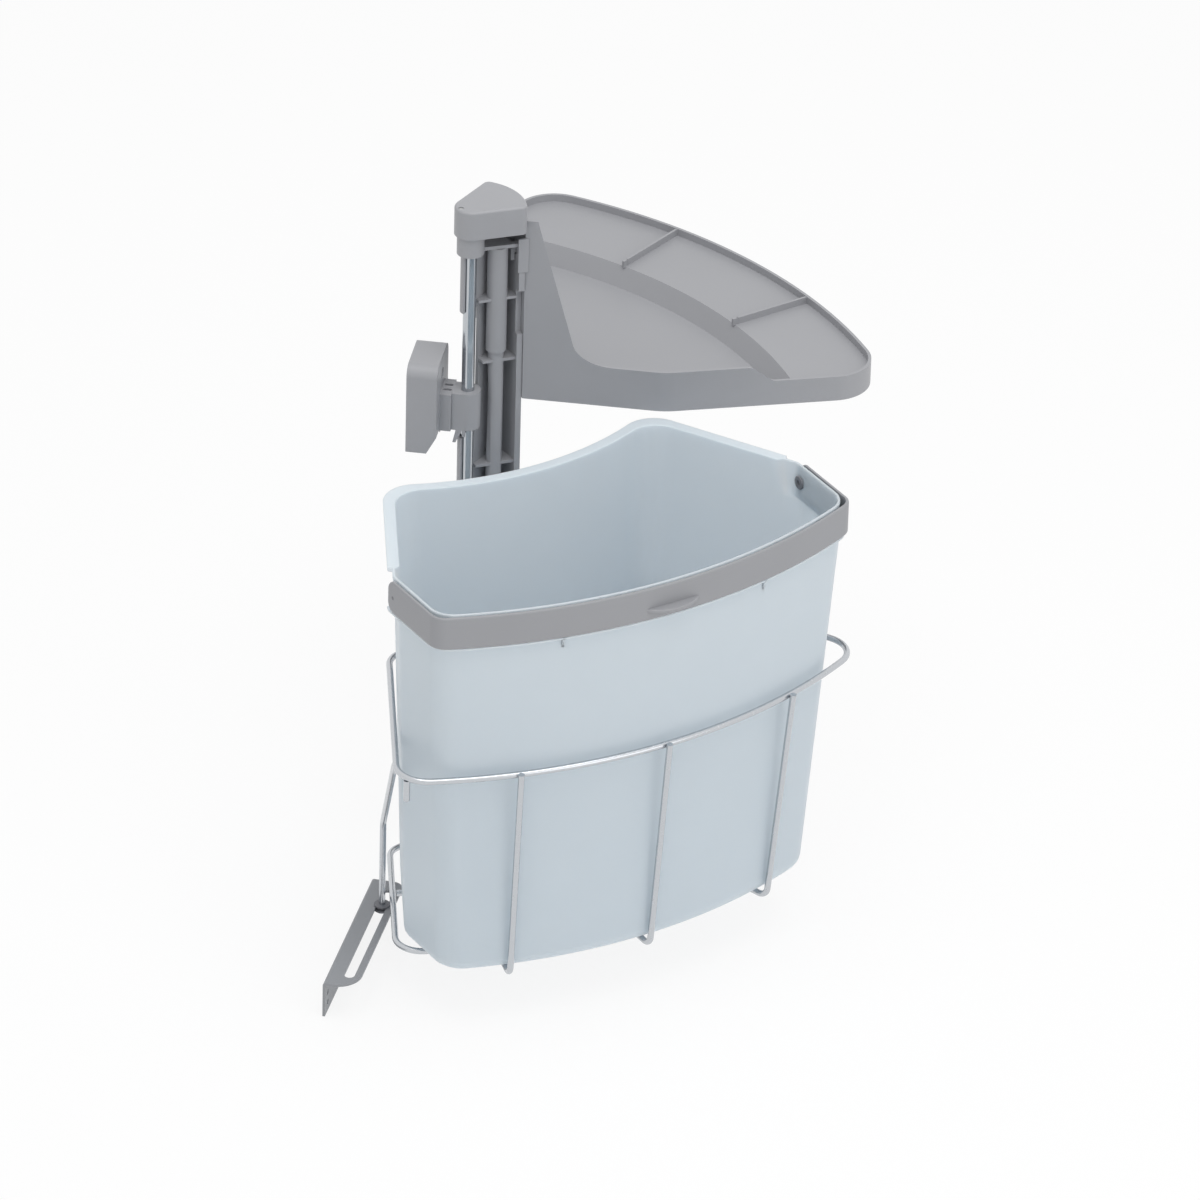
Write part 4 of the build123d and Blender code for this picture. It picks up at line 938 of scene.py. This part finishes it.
WIRE_GAP = 0.5 * MM  # Between a wire and what it lies beside
WIRE_SEAT = 0.3 * MM  # Between the wires and the underside of the bin
WIRE_OVERLAP = 3 * MM  # How far an upright wire reaches past a loop
RING_BENDS = (20 * MM, 24 * MM)  # At the inner and at the outer corners
FLOOR_BENDS = (16 * MM, 20 * MM)
FLOOR_SIDE_GAP = 7.3 * MM  # Between the walls' foot and the floor loop's sides
FRONT_GAP = 0.6 * MM  # Between the bin's foot and the front wires
FRONT_TAIL = 8 * MM  # How far a front wire reaches past the floor loop
FRONT_BEND = 9 * MM
# Directions of the wires about the fan centre, from the basket's axis
FRONT_ANGLES = (radians(-15.6), 0, radians(15.6))
REAR_ANGLES = (radians(-9), radians(9))
CROSS_ANGLE = radians(26)
HUB_BEND = 10.6 * MM


class SWINGBIN_OT_basket(bpy.types.Operator):
    """Builds the basket's wires along their paths, and finishes its hubs and bushes"""

    bl_idname = "swingbin.basket"
    bl_label = "Basket"

    def execute(self, context):
        s = sizes()
        r = s.wire_radius
        lean = tan(s.draft)
        ring_z = s.rim_height - s.ring_drop
        cradle_z = s.foot_height - WIRE_SEAT - r
        floor_z = cradle_z - 2 * r
        ring_in = s.ring_drop * lean - r - WIRE_GAP
        floor_in = s.depth * lean - FLOOR_SIDE_GAP - r
        ring_inner = s.inner_radius + ring_in
        ring_outer = s.outer_radius - s.ring_drop * lean + r + s.ring_front_gap
        floor_inner = s.inner_radius - s.floor_inner_step
        floor_outer = s.outer_radius - s.floor_outer_step
        foot = s.outer_radius - s.depth * lean + r + FRONT_GAP
        ring = loop_outline(ring_inner, ring_outer, ring_in, *RING_BENDS)
        floor = loop_outline(floor_inner, floor_outer, floor_in, *FLOOR_BENDS)
        front = [
            (ring_outer + 2 * r + WIRE_GAP, ring_z + WIRE_OVERLAP),
            (foot, cradle_z),
            (floor_outer - FRONT_TAIL, cradle_z),
        ]
        rear = [
            (ring_inner - 2 * r, ring_z + WIRE_OVERLAP),
            (floor_inner - 2 * r - WIRE_GAP, floor_z - WIRE_OVERLAP),
        ]
        cross = arc((-s.fan_back, 0), (floor_inner + floor_outer) / 2, -CROSS_ANGLE, CROSS_ANGLE, 40)
        fronts = [rounded_path(radial_points(angle, front), FRONT_BEND) for angle in FRONT_ANGLES]
        rears = [radial_points(angle, rear) for angle in REAR_ANGLES]
        wire("basket_ring_wire", [placed(ring, ring_z)], True, "basket_ring")
        wire("floor_loop_wire", [placed(floor, floor_z)], True, "floor_loop")
        wire("front_bent_wires", fronts, False, "front_wires")
        wire("rear_straight_wires", rears, False, "rear_wires")
        wire("cross_bowed_wire", [placed(cross, cradle_z)], False, "cross_wire")
        for node, height, reach in (
            ("upper_hub_wire", ring_z - 2 * r, ring_inner), ("lower_hub_wire", cradle_z, floor_inner)
        ):
            leg = reach - s.fan_back
            bend = arc((0, 0), HUB_BEND, -pi / 2, -3 * pi / 2, 24)
            hairpin = [(leg, -HUB_BEND), *bend, (leg, HUB_BEND)]
            wire(node + "_hairpin", [placed(hairpin, height)], False, node)
        build_driver(ring_outer, ring_in, ring_z)
        build_peg()
        for place in ("upper", "lower"):
            coat(place + "_basket_hub", "zinc_plated_steel")
            coat(place + "_basket_bush", "natural_acetal")
        return {"FINISHED"}


DRIVER_START = 21.6 * MM  # From the ring's outer corner back to the wire's end
DRIVER_LEVEL = 12 * MM  # Length of the run along the ring
DRIVER_REACH = 116.2 * MM  # Distance of the upright run from the swivel axis, along the basket
DRIVER_SIDE = 4.6 * MM  # How far the upright run lies outside the ring's side
DRIVER_KNEE = 87 * MM  # Height of the bend above the upright run
DRIVER_BEND = 14 * MM
DRIVER_FOOT = 2.4 * MM  # Where the wire ends inside its head
# Turned profiles: millimetres of radius and of height
DRIVER_HEAD = ((2.9, 0), (3.5, 0.6), (3.5, 1.9), (2.4, 2.5))
PEG = ((1.9, 0), (2.5, 0.7), (2.5, 18))


def build_driver(ring_outer, ring_in, ring_z):
    """Wire that runs from the ring's corner down to the door bracket's slot, with its upset head."""
    s = sizes()
    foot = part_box("driver_wire")[0][2]
    start = side_offset_point(ring_in, ring_outer)[0] - DRIVER_START

    def side_line(reach):
        return (reach + s.fan_back - ring_in / sin(s.fan_half_angle)) * tan(s.fan_half_angle)

    base = placed([(DRIVER_REACH, -side_line(DRIVER_REACH) - DRIVER_SIDE)], 0)[0]
    run = placed([(start, -side_line(start))], 0)[0] - base
    top = ring_z - 2 * s.wire_radius
    route = [base + run, base + run - run.normalized() * DRIVER_LEVEL, base.copy(), base.copy()]
    heights = (top, top, DRIVER_KNEE, foot + DRIVER_FOOT)
    corners = [Vector((p.x, p.y, z)) for p, z in zip(route, heights)]
    bent = wire("driver_bent_wire", [rounded_path(corners, DRIVER_BEND)], False, None)
    end = Vector((base.x, base.y, foot))
    head = turned("driver_head", end, Vector((0, 0, 1)), in_metres(DRIVER_HEAD))
    piece = evened(joined("driver_wire_with_head", [bent, head]))
    finish(piece, "nickel_plated_wire", "basket")
    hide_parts("driver_wire")


def build_peg():
    """Short peg under the ring, beside the driver wire."""
    low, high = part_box("ring_peg")
    foot = Vector(((low[0] + high[0]) / 2, (low[1] + high[1]) / 2, low[2]))
    peg = evened(turned("short_peg", foot, Vector((0, 0, 1)), in_metres(PEG)))
    finish(peg, "nickel_plated_wire", "basket")
    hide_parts("ring_peg")


class SWINGBIN_OT_door_bracket(bpy.types.Operator):
    """Builds the slotted door bracket and finishes its glider"""

    bl_idname = "swingbin.door_bracket"
    bl_label = "Door bracket"

    def execute(self, context):
        piece = softened("door_bracket", "bracket_sheet", 0.3 * MM)
        finish(piece, "silver_powder_coat", "door_bracket")
        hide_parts("door_bracket")
        coat("slot_glider", "dark_grey_nylon")
        return {"FINISHED"}


class SWINGBIN_OT_stage(bpy.types.Operator):
    """Builds the floor, the lamps, the sky and the camera"""

    bl_idname = "swingbin.stage"
    bl_label = "Stage"

    def execute(self, context):
        build_floor()
        build_sky()
        build_lamps()
        build_camera()
        context.scene.view_settings.view_transform = "Standard"
        return {"FINISHED"}


def build_floor():
    """Wide white floor under the lowest point, which shows a faint shadow."""
    reach = view().floor_reach
    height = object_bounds()[0][2] - 0.5 * MM
    corners = [(-reach, -reach), (reach, -reach), (reach, reach), (-reach, reach)]
    mesh = bpy.data.meshes.new("floor")
    mesh.from_pydata([(x, y, height) for x, y in corners], [], [(0, 1, 2, 3)])
    floor = new_object("floor", mesh)
    material, tree = new_material("white_floor")
    matt = add_node(tree, "ShaderNodeBsdfDiffuse", {"Color": linear("#FFFFFF")})
    glow = add_node(tree, "ShaderNodeEmission", {"Color": linear("#FFFFFF"), "Strength": 1.0})
    part = {"operation": "MULTIPLY", 1: view().floor_glow}
    share = add_node(tree, "ShaderNodeMath", part, {0: seen_rays(tree)})
    links = {0: share.outputs["Value"], 1: matt.outputs["BSDF"], 2: glow.outputs["Emission"]}
    mixed = add_node(tree, "ShaderNodeMixShader", None, links)
    add_node(tree, "ShaderNodeOutputMaterial", None, {"Surface": mixed.outputs["Shader"]})
    mesh.materials.append(material)
    floor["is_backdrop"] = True


def seen_rays(tree):
    """Output that is 1 for what the camera sees, straight or in a mirror, and 0 for light."""
    ray = add_node(tree, "ShaderNodeLightPath")
    seen = ray.outputs["Is Camera Ray"]
    for kind in ("Is Glossy Ray", "Is Transmission Ray"):
        links = {0: seen, 1: ray.outputs[kind]}
        seen = add_node(tree, "ShaderNodeMath", {"operation": "MAXIMUM"}, links).outputs["Value"]
    return seen


def build_sky():
    """Even light from all round, white where the camera or a mirror sees it."""
    world = bpy.data.worlds.new("studio")
    bpy.context.scene.world = world
    world.use_nodes = True
    tree = world.node_tree
    tree.nodes.clear()
    limits = {"To Min": view().sky, "To Max": 1.0}
    strength = add_node(tree, "ShaderNodeMapRange", limits, {"Value": seen_rays(tree)}).outputs["Result"]
    sky = add_node(tree, "ShaderNodeBackground", {"Color": linear("#FFFFFF")}, {"Strength": strength})
    add_node(tree, "ShaderNodeOutputWorld", None, {"Surface": sky.outputs["Background"]})


def build_lamps():
    """A wide soft lamp overhead, and a weaker one low on the right."""
    v = view()
    aim = Vector((0.1, 0.0, 0.3))
    for name, place, size, power in (
        ("top_lamp", (0.35, -0.55, 2.9), 2.4, v.key_power),
        ("fill_lamp", (1.9, -1.4, 1.0), 1.6, v.fill_power),
    ):
        lamp = bpy.data.lights.new(name, "AREA")
        lamp.shape = "DISK"
        lamp.size = size
        lamp.energy = power
        holder = new_object(name, lamp)
        holder.location = place
        holder.rotation_euler = (aim - Vector(place)).to_track_quat("-Z", "Y").to_euler()


def build_camera():
    """Camera on the photograph's line of sight, with the swivel axis at its place in the picture."""
    v = view()
    flat_right = Vector((cos(v.azimuth), sin(v.azimuth), 0))
    ahead = Vector((-sin(v.azimuth) * cos(v.pitch), cos(v.azimuth) * cos(v.pitch), -sin(v.pitch)))
    level_up = flat_right.cross(ahead)
    right = flat_right * cos(v.roll) + level_up * sin(v.roll)
    up = level_up * cos(v.roll) - flat_right * sin(v.roll)
    pixel = v.scale * MM
    middle = v.picture / 2
    aim = Vector((0, 0, v.axis_height))
    aim += right * (middle - v.axis_x) * pixel - up * (middle - v.axis_y) * pixel
    sensor = 36.0
    distance = pixel * v.picture * v.focal / sensor
    camera = bpy.data.cameras.new("camera")
    camera.sensor_width = sensor
    camera.lens = v.focal
    camera.clip_end = 100
    holder = new_object("camera", camera)
    facing = Matrix((right, up, -ahead)).transposed().to_4x4()
    holder.matrix_world = Matrix.Translation(aim - ahead * distance) @ facing
    bpy.context.scene.camera = holder


OPERATORS = (
    SWINGBIN_OT_bin,
    SWINGBIN_OT_handle,
    SWINGBIN_OT_lid,
    SWINGBIN_OT_column,
    SWINGBIN_OT_post,
    SWINGBIN_OT_basket,
    SWINGBIN_OT_door_bracket,
    SWINGBIN_OT_stage,
)


class SWINGBIN_PT_panel(bpy.types.Panel):
    """Lists the pieces in the sidebar of the 3D view"""

    bl_idname = "SWINGBIN_PT_panel"
    bl_label = "Swing-out bin"
    bl_space_type = "VIEW_3D"
    bl_region_type = "UI"
    bl_category = "Swing-out bin"

    def draw(self, context):
        for operator in OPERATORS:
            self.layout.operator(operator.bl_idname)


def register():
    for name, group in SETTINGS.items():
        bpy.utils.register_class(group)
        setattr(bpy.types.Scene, name, PointerProperty(type=group))
    for operator in OPERATORS:
        bpy.utils.register_class(operator)
    bpy.utils.register_class(SWINGBIN_PT_panel)


def unregister():
    bpy.utils.unregister_class(SWINGBIN_PT_panel)
    for operator in reversed(OPERATORS):
        bpy.utils.unregister_class(operator)
    for name, group in reversed(SETTINGS.items()):
        delattr(bpy.types.Scene, name)
        bpy.utils.unregister_class(group)


def main():
    """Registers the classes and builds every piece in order."""
    register()
    for operator in OPERATORS:
        group, action = operator.bl_idname.split(".")
        getattr(getattr(bpy.ops, group), action)()


if __name__ == "__main__":
    main()
